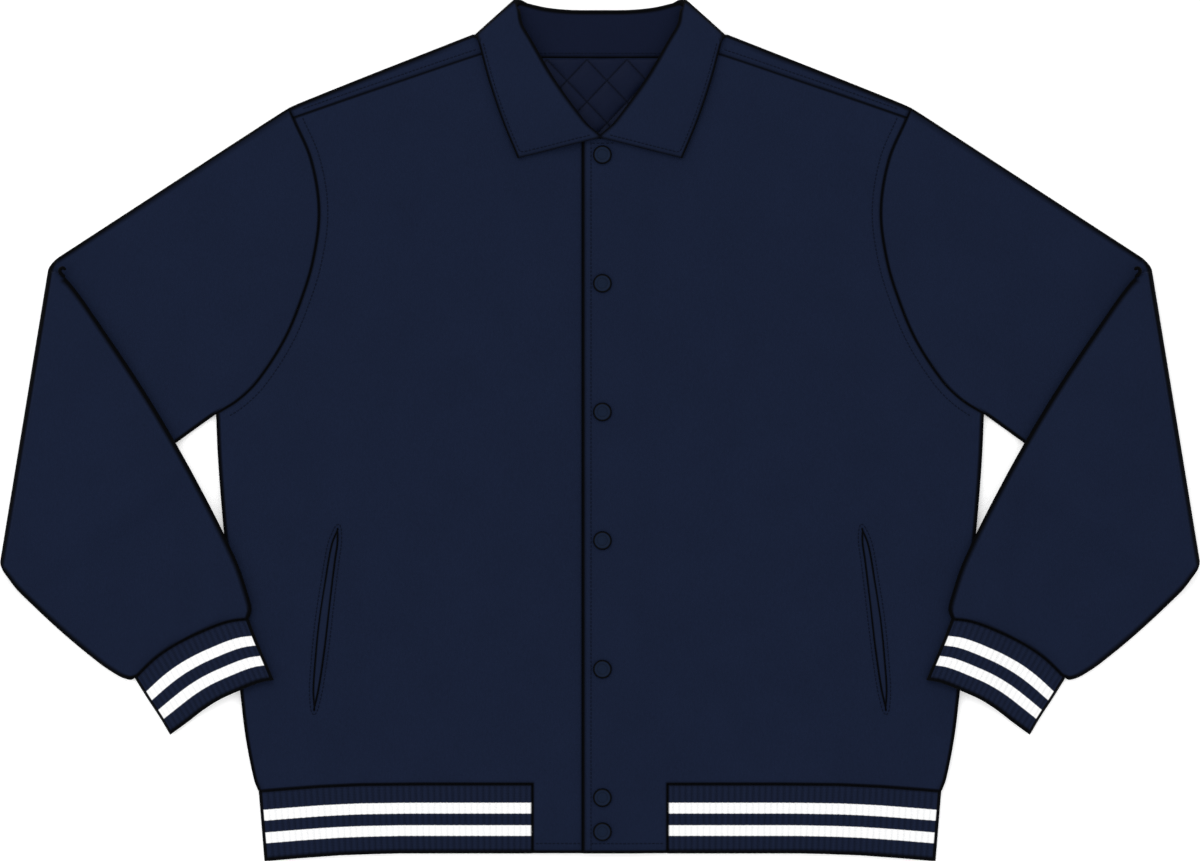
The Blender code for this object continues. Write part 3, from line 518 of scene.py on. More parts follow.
def melton(colour, inside):
    """Napped wool-blend cloth: short fibres over a close weave, with painted shade down in the seams and along
    its edges.
    """
    finish, tree, shader = new_finish("navy_melton", {
        "Roughness": 0.86, "Specular IOR Level": 0.05, "Sheen Weight": 0.012, "Sheen Roughness": 0.45,
        "Sheen Tint": (0.30, 0.40, 0.70, 1)})
    where = place_on_cloth(tree)
    fibre = noise(tree, where, scale=900.0, detail=4.0, roughness=0.7)
    lying = noise(tree, place_on_cloth(tree, stretch=(2.6, 0.8, 1.0)), scale=420.0, detail=2.0)
    cloudy = noise(tree, where, scale=22.0, detail=2.0)
    weave = noise(tree, where, scale=1500.0, detail=2.0)
    tone = 0.45 * fibre + 0.35 * lying + 0.2 * cloudy
    outside = shades(tree, tone, colour, dark=0.55, light=1.45)
    # the collar stand's inside takes the lining's darker navy: partly its own facing colour, partly painted
    # shade of the neck's depth
    inside_tone = shades(tree, tone, inside, dark=0.6, light=1.4)
    cloth = mix(tree, value_of(tree, "inside"), outside, inside_tone)
    # the seam value paints near-black shade: in seams, along edges and outlines, and inside the sleeves' tubes
    feed(tree, shader, "Base Color", mix(tree, value_of(tree, "seam"), cloth, (0.0003, 0.0004, 0.0008)))
    feed(tree, shader, "Roughness", 0.80 + 0.14 * fibre)
    height = fibre + 0.5 * lying + 0.4 * weave
    feed(tree, shader, "Normal", relief(tree, height, distance=0.00022, strength=0.75))
    return finish


def rib_knit(colour, stripe, bands, name):
    """Rib knit with two stripes: columns of small stitches, with painted shade down between the ribs and along
    its seam and borders.
    """
    finish, tree, shader = new_finish(name, {
        "Roughness": 0.9, "Specular IOR Level": 0.05, "Sheen Weight": 0.015, "Sheen Roughness": 0.5,
        "Sheen Tint": (0.5, 0.55, 0.7, 1)})
    fuzz = noise(tree, place_on_cloth(tree), scale=1300.0, detail=3.0, roughness=0.65)
    wavering = value_of(tree, "along") + (fuzz - 0.5) * 0.012
    first, second = [wavering.within(low, high, soft=0.006) for low, high in bands]
    striped = first + second
    stitch_rows = ((value_of(tree, "down") * (2 * math.pi / KNIT_ROW)).sine() + 1) * 0.5
    stitch_sides = ((value_of(tree, "across") * (2 * math.pi / KNIT_COLUMN)).sine() + 1) * 0.5
    loops = 0.6 * stitch_rows + 0.4 * stitch_sides
    tone = 0.5 * fuzz + 0.5 * loops
    yarn = mix(tree, striped, shades(tree, tone, colour, dark=0.6, light=1.45),
               shades(tree, tone, stripe, dark=0.92, light=1.0))
    # painted shade down in the valleys between ribs: near-black on the navy, grey on the stripes
    painted_valley_shade = mix(tree, striped, (0.002, 0.003, 0.006), (0.62, 0.63, 0.65))
    shaded = mix(tree, value_of(tree, "valley") * 0.35, yarn, painted_valley_shade)
    # the seam value paints near-black shade at the seam, the band's borders and its ends
    feed(tree, shader, "Base Color", mix(tree, value_of(tree, "seam"), shaded, (0.0006, 0.0008, 0.0014)))
    feed(tree, shader, "Normal", relief(tree, loops + 0.5 * fuzz, distance=0.0003, strength=0.8))
    return finish


def quilted_satin(colour):
    """Closely woven satin lining, a little glossy, with fine slubs and painted shade along its quilting lines
    and at the neck.
    """
    finish, tree, shader = new_finish("navy_lining_satin", {"Roughness": 0.5, "Specular IOR Level": 0.035})
    threads = noise(tree, place_on_cloth(tree, stretch=(0.25, 3.0, 1.0)), scale=900.0, detail=2.0)
    slubs = noise(tree, place_on_cloth(tree, stretch=(3.0, 0.4, 1.0)), scale=500.0, detail=2.0)
    tone = 0.6 * threads + 0.4 * slubs
    satin = shades(tree, tone, colour, dark=0.7, light=1.4)
    # painted shade along the quilting lines and the neck's seam
    painted_shade_satin = mix(tree, value_of(tree, "seam") * 0.85, satin, (0.0008, 0.0010, 0.0020))
    feed(tree, shader, "Base Color", painted_shade_satin)
    feed(tree, shader, "Roughness", 0.44 + 0.16 * slubs)
    feed(tree, shader, "Normal", relief(tree, tone, distance=0.0001, strength=0.5))
    return finish


def thread(colour):
    """Twisted sewing thread."""
    finish, tree, shader = new_finish("navy_thread", {"Roughness": 0.7, "Specular IOR Level": 0.05})
    twist = noise(tree, place_on_cloth(tree), scale=2600.0, detail=1.0)
    feed(tree, shader, "Base Color", shades(tree, twist, colour, dark=0.6, light=1.5))
    feed(tree, shader, "Normal", relief(tree, twist, distance=0.0001, strength=0.6))
    return finish


def enamel(colour):
    """Baked enamel over a pressed cap, with faint orange peel, and painted shade in the groove and round the
    rim.
    """
    finish, tree, shader = new_finish("navy_snap_enamel", {"Roughness": 0.45, "Specular IOR Level": 0.04})
    where = place_on_cloth(tree)
    peel = noise(tree, where, scale=700.0, detail=2.0)
    dust = noise(tree, where, scale=160.0, detail=3.0)
    coat = shades(tree, dust, colour, dark=0.85, light=1.2)
    # the seam value paints shade in the cap's groove and round its rim
    feed(tree, shader, "Base Color", mix(tree, value_of(tree, "seam"), coat, (0.0006, 0.0008, 0.0014)))
    feed(tree, shader, "Roughness", 0.38 + 0.18 * dust)
    feed(tree, shader, "Normal", relief(tree, peel, distance=0.00005, strength=0.4))
    return finish


def pale_floor(colour):
    """Matt white paper."""
    finish, tree, shader = new_finish("white_paper", {
        "Roughness": 0.95, "Specular IOR Level": 0.1,
        "Emission Color": (1, 1, 1, 1), "Emission Strength": 0.3})
    grain = noise(tree, place_on_cloth(tree), scale=300.0)
    feed(tree, shader, "Base Color", shades(tree, grain, colour, dark=0.99, light=1.0))
    feed(tree, shader, "Normal", relief(tree, grain, distance=0.00004, strength=0.2))
    return finish


# ---- body ----------------------------------------------------------------------------------------

# Painted shade along lines, by kind: black as far as the first distance, fading over the second
PAINTED_SHADE_LINES = {
    "seam": (0.65, 1.5),
    "edge": (1.1, 1.5),     # painted shade along an edge
    "outer": (2.2, 1.5),    # painted shade along an outer edge, where the cloth turns under
    "rib": (2.6, 0.6),      # a rib band's border
    "quilt": (0.1, 0.9),
    "welt": (1.3, 0.8),
}
SEAM_ROLL = 0.8         # how far the cloth dips into a seam
SEAM_DIP = 3.2          # and how far from the seam it starts to
SEAM_GAP = 0.15         # each side of a seam
PLUMB = 70.0            # how far from the centre the fronts' columns run straight down
LEAN = 0.5              # of a seam between two flat tubes, at their top and bottom
LEAN_REACH = 4.0
PANEL_LEAN = LEAN * 0.8         # of a single panel's edge
EDGE_DIP = 0.5          # the upper front's edge lies this much lower
EDGE_REACH = 2.2
PUFF_REACH = 14.0       # soft folds grow over this distance from a seam
UNDER_LAP = (0.0, 0.5, 1.0, 1.6, 2.4, 3.6)      # close columns where a front goes under the other
BESIDE_TAB = (0.0, 1.2, 2.6, 4.0)               # and beside the tab
FRONT_FOLDS = (
    # start          end         height  width
    ((300, 372), (215, 330), 0.9, 16.0),
    ((285, 395), (150, 420), 0.7, 18.0),
    ((262, 430), (120, 500), 0.6, 22.0),
    ((250, 470), (175, 560), 0.6, 18.0),
    ((210, 640), (120, 560), 0.6, 22.0),
    ((105, 640), (60, 520), 0.5, 18.0),
    ((235, 100), (222, 68), 0.9, 7.0),
    ((190, 120), (196, 68), 0.8, 8.0),
    ((150, 105), (152, 68), 0.7, 7.0),
    ((110, 130), (104, 68), 0.8, 9.0),
    ((80, 100), (78, 68), 0.6, 6.0),
    ((255, 190), (180, 260), 0.5, 20.0),
    ((60, 300), (100, 180), 0.4, 26.0),
)
UNDER_FOREARM = 8.0     # the fronts are flat from here inward of the forearm's edge
UNDER_CUFF = 146.0      # and they show again below this
TOP_CLEAR = 0.6         # from a panel's first armhole point to the next
LAP_SHADE = 0.2         # from the upper front's edge to the painted shadow that it casts on the lower one
ROLL_STEPS = 11         # round the shoulder fold
TO_SEAM = (0.25, 0.45, 0.62, 0.76, 0.88, 1.0)       # shares of the way from the fold to the shoulder seam
BACK_STEP = 5.0


def soft_folds(points, folds):
    """Soft ridges laid on the cloth."""
    height = np.zeros(points.shape[:-1])
    for start, end, rise, width in folds:
        height += rise * np.exp(-(near(points, np.array([start, end], float)) / width) ** 2)
    return height


def uncovered(points):
    """1 where the front shows, 0 under the forearm and the cuff."""
    inner = np.array(CUFF_INNER[::-1] + FOREARM_INNER[:-1][::-1], float)
    reach = np.interp(points[..., 1], inner[:, 1], inner[:, 0])
    beside = rising(reach - UNDER_FOREARM - points[..., 0], over=22)
    below = rising(UNDER_CUFF - points[..., 1], over=16)
    return np.maximum(beside, below)


def hem_line(outs, lean):
    return np.column_stack([outs, height_of(HEM_SEAM, outs) + SEAM_GAP - lean])


def side_and_armhole(first, step, lean):
    """A panel's outer edge from the hem up to its first armhole point, with each point's share of the way."""
    side = flow(BODY_SIDE, step=2)[::-1]
    side[0, 1] += SEAM_GAP
    arm = aside(flow(ARMHOLE, step=2), SEAM_GAP)[::-1] + (lean, 0)
    below_first = arm[:, 1] < first[1] - TOP_CLEAR
    arm = np.vstack([side[-1:], arm[below_first][1:], [first]])
    parts, shares = [], []
    for line, start in ((side, 0), (arm, length_of(side))):
        length = length_of(line)
        rows = graded(length, step)
        parts.append(points_at(line, travelled(line) / length, rows))
        shares.append(start + rows * length)
    shares = np.concatenate([shares[0], shares[1][1:]])
    return np.vstack([parts[0], parts[1][1:]]), shares / shares[-1]


def shade(kind, distance):
    """How much painted shade cloth has at a distance from a line of a kind, 0 to 1."""
    black, fade = PAINTED_SHADE_LINES[kind]
    return 1 - rising(distance, over=fade, start=black)


def seam_drop(distance, depth=SEAM_ROLL):
    return depth * (1 - rising(distance, SEAM_DIP))


def joint_lean(height, distance):
    """How far a seam's two sides lean over, by height from the middle, so that nothing shows through."""
    return LEAN * height / HALF_STACK * (1 - rising(distance, LEAN_REACH))


def front_height(points, upper):
    """Middle of a front's wall, before its seams and folds."""
    return front_base(points) + WALL / 2 + (lap_lift(points) if upper else 0)


def front_columns(step):
    """The fronts' columns at the hem, close together at the side, the tab, under the lap and at the edge."""
    width = HEM_OUT - TAB
    first = HEM_OUT - width * graded(width, step, last=BESIDE_TAB)
    second = TAB - (TAB - LAP) * graded(TAB - LAP, step, last=UNDER_LAP)
    third = LAP - 2 * LAP * graded(2 * LAP, step, first=UNDER_LAP)
    return np.concatenate([first, second[1:], third[1:]])


def front(side, finish, step):
    """One front with its tab, rolled down into its seams and softly folded."""
    upper = side > 0
    outs = front_columns(step)
    spread = np.clip((outs - PLUMB) / (outs[0] - PLUMB), 0, 1)
    top = np.vstack([flow(SHOULDER_SEAM, step=1.0), flow(FRONT_NECK, step=1.0)[1:]])
    top_outs = np.where(spread > 0, PLUMB + (SHOULDER_SEAM[0][0] - PLUMB) * spread, outs)
    top_line = np.column_stack([top_outs, height_of(top, top_outs) - SEAM_GAP])
    top_line[0, 0] += PANEL_LEAN
    left, v = side_and_armhole(top_line[0], step, PANEL_LEAN)
    hem = hem_line(outs, PANEL_LEAN)
    left[0] = hem[0]
    hem_up = hem[-1, 1]
    right = np.column_stack([np.full(len(v), -LAP), hem_up + (top_line[-1, 1] - hem_up) * v])
    points = coons(left, right, hem, top_line, v, 1 - spread)
    first_tab = int(np.argmin(np.abs(outs - TAB)))
    tab_outs = outs[first_tab:].copy()
    tab_outs[0] -= SEAM_GAP
    tab_rows = graded(hem_up - TAB_LOW, step)
    tab = np.stack(np.meshgrid(tab_outs, hem_up - (hem_up - TAB_LOW) * tab_rows), -1)
    points[0, first_tab, 0] -= SEAM_GAP
    tab_top = (TAB, HEM_SEAM[-1][1])
    seams = [flow(ARMHOLE, step=4), flow(SHOULDER_SEAM, step=8), HEM_SEAM[:-1] + (tab_top,),
             (tab_top, (TAB, TAB_LOW))]
    side_line = flow(BODY_SIDE, step=8)
    cloth = Cloth()
    for grid in (points, tab):
        distance = np.min([near(grid, line) for line in seams], axis=0)
        edge = grid[..., 0] + LAP
        free = rising(edge, over=10, start=4) * rising(distance, over=PUFF_REACH, start=1) * uncovered(grid)
        free = free * rising(near(grid, COLLAR_EDGE), over=PUFF_REACH, start=4)
        z = front_height(grid, upper) - seam_drop(distance)
        z = z - EDGE_DIP * (1 - rising(edge, EDGE_REACH)) * upper
        z = z + soft_folds(grid, FRONT_FOLDS) * free
        # painted shade at the seams, the side, the tab's lower edge and the upper front's edge, and the upper
        # front's painted shadow on the lower one
        to_lap = edge if upper else np.abs(grid[..., 0] - LAP - LAP_SHADE)
        dark = np.max([
            shade("seam", distance),
            shade("outer", near(grid, side_line)),
            shade("edge" if upper else "seam", to_lap),
            shade("outer", grid[..., 1] - TAB_LOW),
        ], axis=0)
        cloth.grid(world(side, grid, z), seam=dark)
    return thicken(cloth.make(f"front_{SIDES[side]}_cloth", finish), WALL)


def shoulder_roll(axis, low, high, toward, seams):
    """Sections of the back round the shoulder fold and forward to the seam: flat points and their heights."""
    radius = (high - low) / 2
    for angle in np.linspace(0, math.pi, ROLL_STEPS):
        yield axis - toward * (radius * math.sin(angle))[:, None], (high + low) / 2 - radius * math.cos(angle)
    for part in TO_SEAM:
        flat = axis + (seams - toward * SEAM_GAP - axis) * part
        yield flat, front_base(flat) + WALL / 2


def back(finish):
    """The back panel, rolled over both shoulders to the forward seams."""
    columns = graded(length_of(flow(SHOULDER_FOLD, step=2)), 4.0, first=(0.0, 1.2, 2.6), last=(0.0, 2.0))
    folds = flow(SHOULDER_FOLD, at=columns)
    seams = flow(SHOULDER_SEAM, at=columns)
    toward = unit(seams - folds)
    low = back_base(folds) + WALL / 2
    high = front_base(folds) + WALL / 2
    radius = (high - low) / 2
    axis = folds + toward * (radius + WALL / 2)[:, None]
    top_line = np.vstack([axis, flow(BACK_NECK, step=BACK_STEP)[1:]])
    reached = travelled(top_line)
    u = reached / reached[-1]
    hem = hem_line(HEM_OUT * (1 - u), -PANEL_LEAN)
    left, v = side_and_armhole(top_line[0], BACK_STEP, -PANEL_LEAN)
    left[0] = hem[0]
    right = np.column_stack([np.zeros(len(v)), hem[-1, 1] + (top_line[-1, 1] - hem[-1, 1]) * v])
    points = coons(left, right, hem, top_line, v, u)
    flat_z = back_base(points) + WALL / 2
    flat_z[-1, :len(axis)] = low
    roll, roll_z = [np.stack(rows) for rows in zip(*shoulder_roll(axis, low, high, toward, seams))]
    on_top = smooth((roll_z - low - radius) / radius)
    distance = near(roll, flow(SHOULDER_SEAM, step=4))
    sleeve_side = near(roll, flow(ARMHOLE, step=3))
    roll[..., 0] += joint_lean(roll_z - HALF_STACK, sleeve_side)
    roll_z = roll_z - on_top * (seam_drop(distance) + seam_drop(sleeve_side) * 0.8)
    # painted shade at the shoulder and armhole seams and along the shoulder fold
    dark = on_top * np.maximum(shade("seam", distance), shade("seam", sleeve_side))
    dark = np.maximum(dark, shade("outer", near(roll, flow(SHOULDER_FOLD, step=4)) - 0.3))
    cloth = Cloth()
    for side in SIDES:
        cloth.grid(world(side, points, flat_z))
        cloth.grid(world(side, roll, roll_z), seam=dark)
    return thicken(cloth.make("back_cloth", finish, WIDE_WELD), WALL)


# ---- sleeves and cuffs ---------------------------------------------------------------------------

ARC_STEPS = 5           # round a flat tube's edge
FOLD_SECTIONS = 14      # round the elbow fold
SLEEVE_COLUMNS = 80     # of a sleeve's middle
TUBE_COLUMNS = 64       # of each of its layers
SLEEVE_STEP = 4.0
LEAST_SHARE = 0.1       # of a tube's height next to its edge
LEAST_HEIGHT = 0.15
ARM_LINE = flow(ARMHOLE, step=3)
CUFF_LINE = flow(CUFF_SEAM, step=3)
INNER_LINE = flow(FOREARM_INNER, step=6)

# Where the sections round the elbow start and end, from the ends of the crease: the first one, and how far
# along from it the last one is
CREASE_TOP = (-5.7, 11.7)
CREASE_BOTTOM = (-6.1, 10.4)
CREASE_ROUND = 3.0      # all of them are shorter by this where the fold is roundest
UPPER_FOLDS = (
    # start          end             height  width
    ((330, 380), (300, 470), 0.9, 14.0),
    ((345, 372), (330, 480), 0.7, 15.0),
    ((300, 560), (420, 480), 0.6, 20.0),
    ((275, 500), (350, 470), 0.5, 20.0),
    ((300, 410), (270, 450), 0.6, 12.0),
)
FOREARM_FOLDS = (
    # start          end             height  width
    ((452, 470), (440, 380), 1.2, 12.0),
    ((448, 480), (400, 400), 1.0, 10.0),
    ((488, 262), (430, 250), 1.2, 14.0),
    ((480, 240), (420, 215), 1.0, 12.0),
    ((455, 300), (390, 255), 0.8, 22.0),
    ((372, 205), (385, 168), 1.1, 8.0),
    ((352, 215), (360, 182), 0.9, 7.0),
    ((335, 225), (341, 190), 1.0, 7.0),
    ((315, 235), (320, 200), 0.8, 7.0),
    ((300, 240), (303, 206), 0.7, 6.0),
    ((400, 190), (398, 162), 0.9, 9.0),
    ((420, 330), (360, 300), 0.6, 26.0),
)


def sections(grid, z, direction):
    """Rows of a flat tube's middle: points with z, and which way its first layer lies."""
    middle = np.concatenate([grid, z[..., None]], -1)
    ups = np.zeros_like(middle)
    ups[..., 2] = direction
    return middle, ups


def elbow_sections(count):
    """The tube's middle round the elbow fold."""
    top, bottom = np.array(CREASE, float)
    length = np.linalg.norm(bottom - top)
    along = (bottom - top) / length
    outward = np.array([-along[1], along[0]])
    outward *= np.sign(outward[0])
    radius = HALF_STACK + LAY_GAP / 2
    reach = radius + HALF_STACK
    middles, ups = [], []
    for k in range(1, FOLD_SECTIONS):
        angle = math.pi * k / FOLD_SECTIONS
        turn = smooth(k / FOLD_SECTIONS)
        start = CREASE_TOP[0] + CREASE_TOP[1] * turn + CREASE_ROUND * math.sin(angle)
        end = length + CREASE_BOTTOM[0] + CREASE_BOTTOM[1] * turn - CREASE_ROUND * math.sin(angle)
        flat = top + along * np.linspace(start, end, count)[:, None]
        flat = flat - outward * (reach - radius * math.sin(angle))
        z = np.full(count, HALF_STACK + radius - radius * math.cos(angle))
        middles.append(np.column_stack([flat, z]))
        ups.append(np.tile([*(-outward * math.sin(angle)), math.cos(angle)], (count, 1)))
    return np.array(middles), np.array(ups)


def rounded(distances, edge):
    """Height share of a flat tube with round edges, at distances from its edge."""
    return np.sqrt(np.clip(1 - (1 - np.clip(distances / edge, 0, 1)) ** 2, 0, 1))


def loosen(grid, corner, reach=26.0, rounds=240):
    """Even out a grid's cells near a corner where its two sides run almost in one line."""
    close = 1 - rising(np.linalg.norm(grid - corner, axis=-1), over=reach, start=reach)
    close = close[1:-1, 1:-1, None]
    for _ in range(rounds):
        mean = (grid[:-2, 1:-1] + grid[2:, 1:-1] + grid[1:-1, :-2] + grid[1:-1, 2:]) / 4
        grid[1:-1, 1:-1] += (mean - grid[1:-1, 1:-1]) * close
    return grid


def from_edges(point, distances, total, edges, corner):
    """Distance from a tube's edges: along the row, and straight to the edge lines near a corner."""
    along = np.minimum(distances, total - distances)
    if edges is None:
        return along
    flat = point[:, :2]
    direct = np.min([near(flat, line) for line in edges], axis=0)
    return along + (direct - along) * (1 - rising(np.linalg.norm(flat - corner, axis=1), over=30, start=10))


def out_and_back(first, second):
    """A closed ring's values from those of its two layers."""
    return np.concatenate([first, second[::-1][1:-1]])


def tube_ring(middle, up, heights, edges=None, corner=None, inset=0.0):
    """A ring of a flat tube: its first layer out along up, its second back, an inset inside the tube.

    Gives the ring, its middle under each point, 1 for the first layer, and how far the edges are.
    """
    reached = travelled(middle)
    total = reached[-1]
    edge = HALF_STACK
    near_edge = inset + (edge - inset) * (1 - np.cos(np.linspace(0, math.pi / 2, ARC_STEPS)))
    inside = edge + (total - 2 * edge) * np.linspace(0, 1, TUBE_COLUMNS)[1:-1]
    distances = np.concatenate([near_edge, inside, total - near_edge[::-1]])
    point = points_at(middle, reached, distances)
    way = unit(points_at(up, reached, distances))
    away = from_edges(point, distances, total, edges, corner)
    share = np.maximum(rounded(away - inset, edge - inset), LEAST_SHARE)
    share[[0, -1]] = 0
    over, under = [way * (share * np.maximum(height(point, distances, total) - inset, LEAST_HEIGHT))[:, None]
                   for height in heights]
    layer = out_and_back(np.ones(len(over)), np.zeros(len(under)))
    ring, core = out_and_back(point + over, point - under), out_and_back(point, point)
    return ring, core, layer, out_and_back(away, away)


ELBOW_OUTLINE = ((451.9, 502.9), (456.4, 499.0), (458.8, 494.2), (500.0, 247.0), (499.2, 243.6),
                 (495.4, 239.0), (483.7, 223.8))
ELBOW_TUCK = ((445.0, 486.4), (448.6, 489.4), (449.4, 492.2), (447.2, 494.0), (444.4, 492.4))
TUCK_SIZE = 1.5         # half its width
TUCK_HEIGHT = 14.0      # of its middle
TUCK_POINTS = 25
TUCK_SIDES = 16


def elbow_tuck(side, finish):
    """The small pinch of cloth where the forearm's inner edge ends at the elbow, painted in full shade."""
    part = np.linspace(0, 1, TUCK_POINTS)
    line = flow(ELBOW_TUCK, at=part)
    along = unit(np.gradient(line, axis=0))
    across = np.column_stack([along[:, 1], -along[:, 0]])
    size = TUCK_SIZE * np.sqrt(np.clip(1 - (2 * part - 1) ** 6, 0, 1))
    turns = np.linspace(0, 2 * math.pi, TUCK_SIDES, endpoint=False)
    flat = line[:, None] + across[:, None] * (np.cos(turns) * size[:, None])[..., None]
    z = TUCK_HEIGHT + np.sin(turns)[None, :] * size[:, None] * 1.1
    cloth = Cloth()
    cloth.grid(world(side, flat, z), closed=True, seam=1.0)
    return cloth.make(f"elbow_tuck_{SIDES[side]}", finish)


ARM_PUFF = 1.6          # how much fuller the shown layer is than flat
FOREARM_PUFF = 2.6
CUFF_PUFF = 1.2         # and beside the cuff
CUFF_DIP = 1.4          # at the cuff's seam
TUCK_CLEAR = 20.0       # no edge has painted shade from the tuck down to here


def plain_height(point, distances, total):
    return np.full(len(point), HALF_STACK)


def arm_height(point, distances, total):
    """Half the tube's height on the upper arm's shown layer."""
    flat = point[:, :2]
    clear = rising(near(flat, INNER_LINE), over=30, start=10) * rising(near(flat, ARM_LINE), over=22)
    clear = clear * (flat[:, 1] > height_of(INNER_LINE, flat[:, 0]))
    fuller = ARM_PUFF * clear + soft_folds(flat, UPPER_FOLDS) * clear
    return HALF_STACK - seam_drop(near(flat, ARM_LINE)) + fuller


def forearm_height(point, distances, total):
    """Half the tube's height on the forearm's shown layer: full in its middle, gathered in to the cuff."""
    flat = point[:, :2]
    to_cuff = near(flat, CUFF_LINE)
    middle_share = np.sin(np.pi * np.clip(distances / total, 0, 1)) ** 0.8
    full = (FOREARM_PUFF * middle_share * rising(to_cuff, over=30)
            + CUFF_PUFF * rising(to_cuff, over=10) * (1 - rising(to_cuff, over=60)))
    folds = soft_folds(flat, FOREARM_FOLDS) * rising(to_cuff, over=6) * rising(
        np.minimum(distances, total - distances), over=12)
    return HALF_STACK - CUFF_DIP * (1 - rising(to_cuff, over=5)) + full + folds


def sleeve_parts():
    """The tube's middle, with which way its first layer lies: the upper arm, the elbow fold, the forearm."""
    t = np.linspace(0, 1, SLEEVE_COLUMNS)
    s = graded(length_of(SLEEVE_TOP), SLEEVE_STEP)
    upper = coons(flow(SLEEVE_TOP, at=s), flow(SLEEVE_UNDER, at=s), flow(ARMHOLE, at=t),
                  straight(SLEEVE_TOP[-1], SLEEVE_UNDER[-1], t), s, t)
    upper = loosen(upper, np.array(SLEEVE_UNDER[0]))
    upper[0] = aside(flow(ARMHOLE, at=t), -SEAM_GAP)
    s = graded(length_of(FOREARM_INNER), SLEEVE_STEP, first=(0.0, 2.0))
    forearm = coons(flow(FOREARM_INNER, at=s), flow(FOREARM_OUTER, at=s),
                    straight(FOREARM_INNER[0], FOREARM_OUTER[0], t), flow(CUFF_SEAM, at=t), s, t)
    forearm[-1, :, 1] += SEAM_GAP
    return (sections(upper, np.full(upper.shape[:2], HALF_STACK), 1.0), elbow_sections(SLEEVE_COLUMNS),
            sections(forearm, forearm_base(forearm) + HALF_STACK, -1.0))


def sleeve_dark(ring, flat, layer, away, seam):
    """Painted shade of a ring: its edges, its seam, and past the upper arm the elbow's outline, clear of the
    tuck.
    """
    dark = shade("outer", away)
    if seam == "arm":
        return np.maximum(dark, shade("seam", near(flat, ARM_LINE)) * layer)
    if seam == "cuff":
        dark = np.maximum(dark, shade("seam", near(flat, CUFF_LINE) * 0.9))
    at_elbow = (ring[:, 0] > ELBOW_TUCK[1][0]) & (ring[:, 1] > ELBOW_TUCK[0][1] - TUCK_CLEAR)
    return np.maximum(np.where(at_elbow, 0.0, dark), shade("outer", near(ring[:, :2], ELBOW_OUTLINE) - 0.4))


def sleeve(side, finish):
    """A sleeve: upper arm, elbow fold and forearm, one flat tube with a hollow inside."""
    arm_edges = [flow(SLEEVE_TOP, step=6), flow(SLEEVE_UNDER, step=6)]
    forearm_edges = [flow(FOREARM_INNER, step=4), flow(FOREARM_OUTER, step=2)]
    kinds = (
        # edges, their corner, heights of both layers, seam at its end
        (arm_edges, np.array(SLEEVE_UNDER[0]), (arm_height, plain_height), "arm"),
        (None, None, (plain_height, plain_height), None),
        (forearm_edges, np.array(FOREARM_OUTER[-1]), (plain_height, forearm_height), "cuff"),
    )
    rings, cores, darks = [], [], []
    for (middles, ups), (edges, corner, heights, seam) in zip(sleeve_parts(), kinds):
        for middle, up in zip(middles, ups):
            ring, flat, layer, away = tube_ring(middle, up, heights, edges, corner)
            core, core_flat = tube_ring(middle, up, heights, edges, corner, WALL)[:2]
            if edges:
                away = np.min([near(flat[:, :2], line) for line in edges], axis=0)
            away = away - (0.3 if seam == "cuff" else 0.0)
            darks.append(sleeve_dark(ring, flat[:, :2], layer, away, seam))
            for line, under, kept in ((ring, flat, rings), (core, core_flat, cores)):
                height = line[:, 2] - under[:, 2]
                if seam == "arm":
                    line[:, 0] += joint_lean(height, near(under[:, :2], ARM_LINE))
                elif seam == "cuff":
                    line[:, 1] -= joint_lean(height, near(under[:, :2], CUFF_LINE))
                kept.append(world(side, line[:, :2], line[:, 2]))
    cloth = Cloth()
    cloth.grid(np.array(rings), closed=True, seam=np.array(darks))
    # the tube's inside is painted in full shade
    cloth.grid(np.array(cores), closed=True, seam=1.0)
    for end in (0, -1):
        cloth.grid(np.array([rings[end], cores[end]]), closed=True, seam=np.array([darks[end]] * 2))
    return cloth.make(f"sleeve_{SIDES[side]}_cloth", finish)


RIB_PITCH = 5.0
RIB_RISE = 1.0          # of the ribs' crests
RIB_BREADTH = 0.55      # the less it is, the broader the crests
RIB_POINTS = 8          # across each rib
BACK_RIB_POINTS = 6     # and on the hem's underside
CUFF_STEP = 2.2         # from one row to the next
CUFF_ROUND = 3.0        # of a cuff's sides
HEM_STEP = 2.6          # from one row to the next
HEM_TURN_KNIT = 15.0    # width of knit round the hem's side
HEM_TURN_RATE = 4.7     # width for each radian of it
KNIT_RISE = 0.3         # of the crests above the flat stack of layers
FIRST_ROWS = (0.0, 0.8, 1.7, 3.0)       # of a band, from its seam
LAST_ROWS = (0.0, 0.5, 1.1, 2.2)        # and from its edge
EDGE_TUCK = 0.9         # how much lower the knit lies where it turns under
EDGE_ROUND = 2.0        # and over how far
UNDER_RIB = 0.7         # of the ribs on the floor's side
UNDER_TUCK = 0.6
CUFF_TUCK = 1.6         # how much lower a cuff lies at its seam
CUFF_TUCK_REACH = 3.5
HEM_FRONT_RIBS = 44
HEM_BACK_RIBS = 56
HEM_TURN_STEPS = 9      # round the hem's side
HEM_SIDE_IN = 0.4       # its side lies this far inside a full half circle
CUFF_BANDS = ((0.271, 0.425), (0.597, 0.751))       # stripes, in shares of the way from seam to edge
HEM_BANDS = ((0.266, 0.421), (0.591, 0.744))


def rib_profile(distance):
    """Height of a 2 by 2 rib: broad crests and narrow valleys, 0 to 1."""
    return (0.5 - 0.5 * np.cos(2 * math.pi * distance / RIB_PITCH)) ** RIB_BREADTH


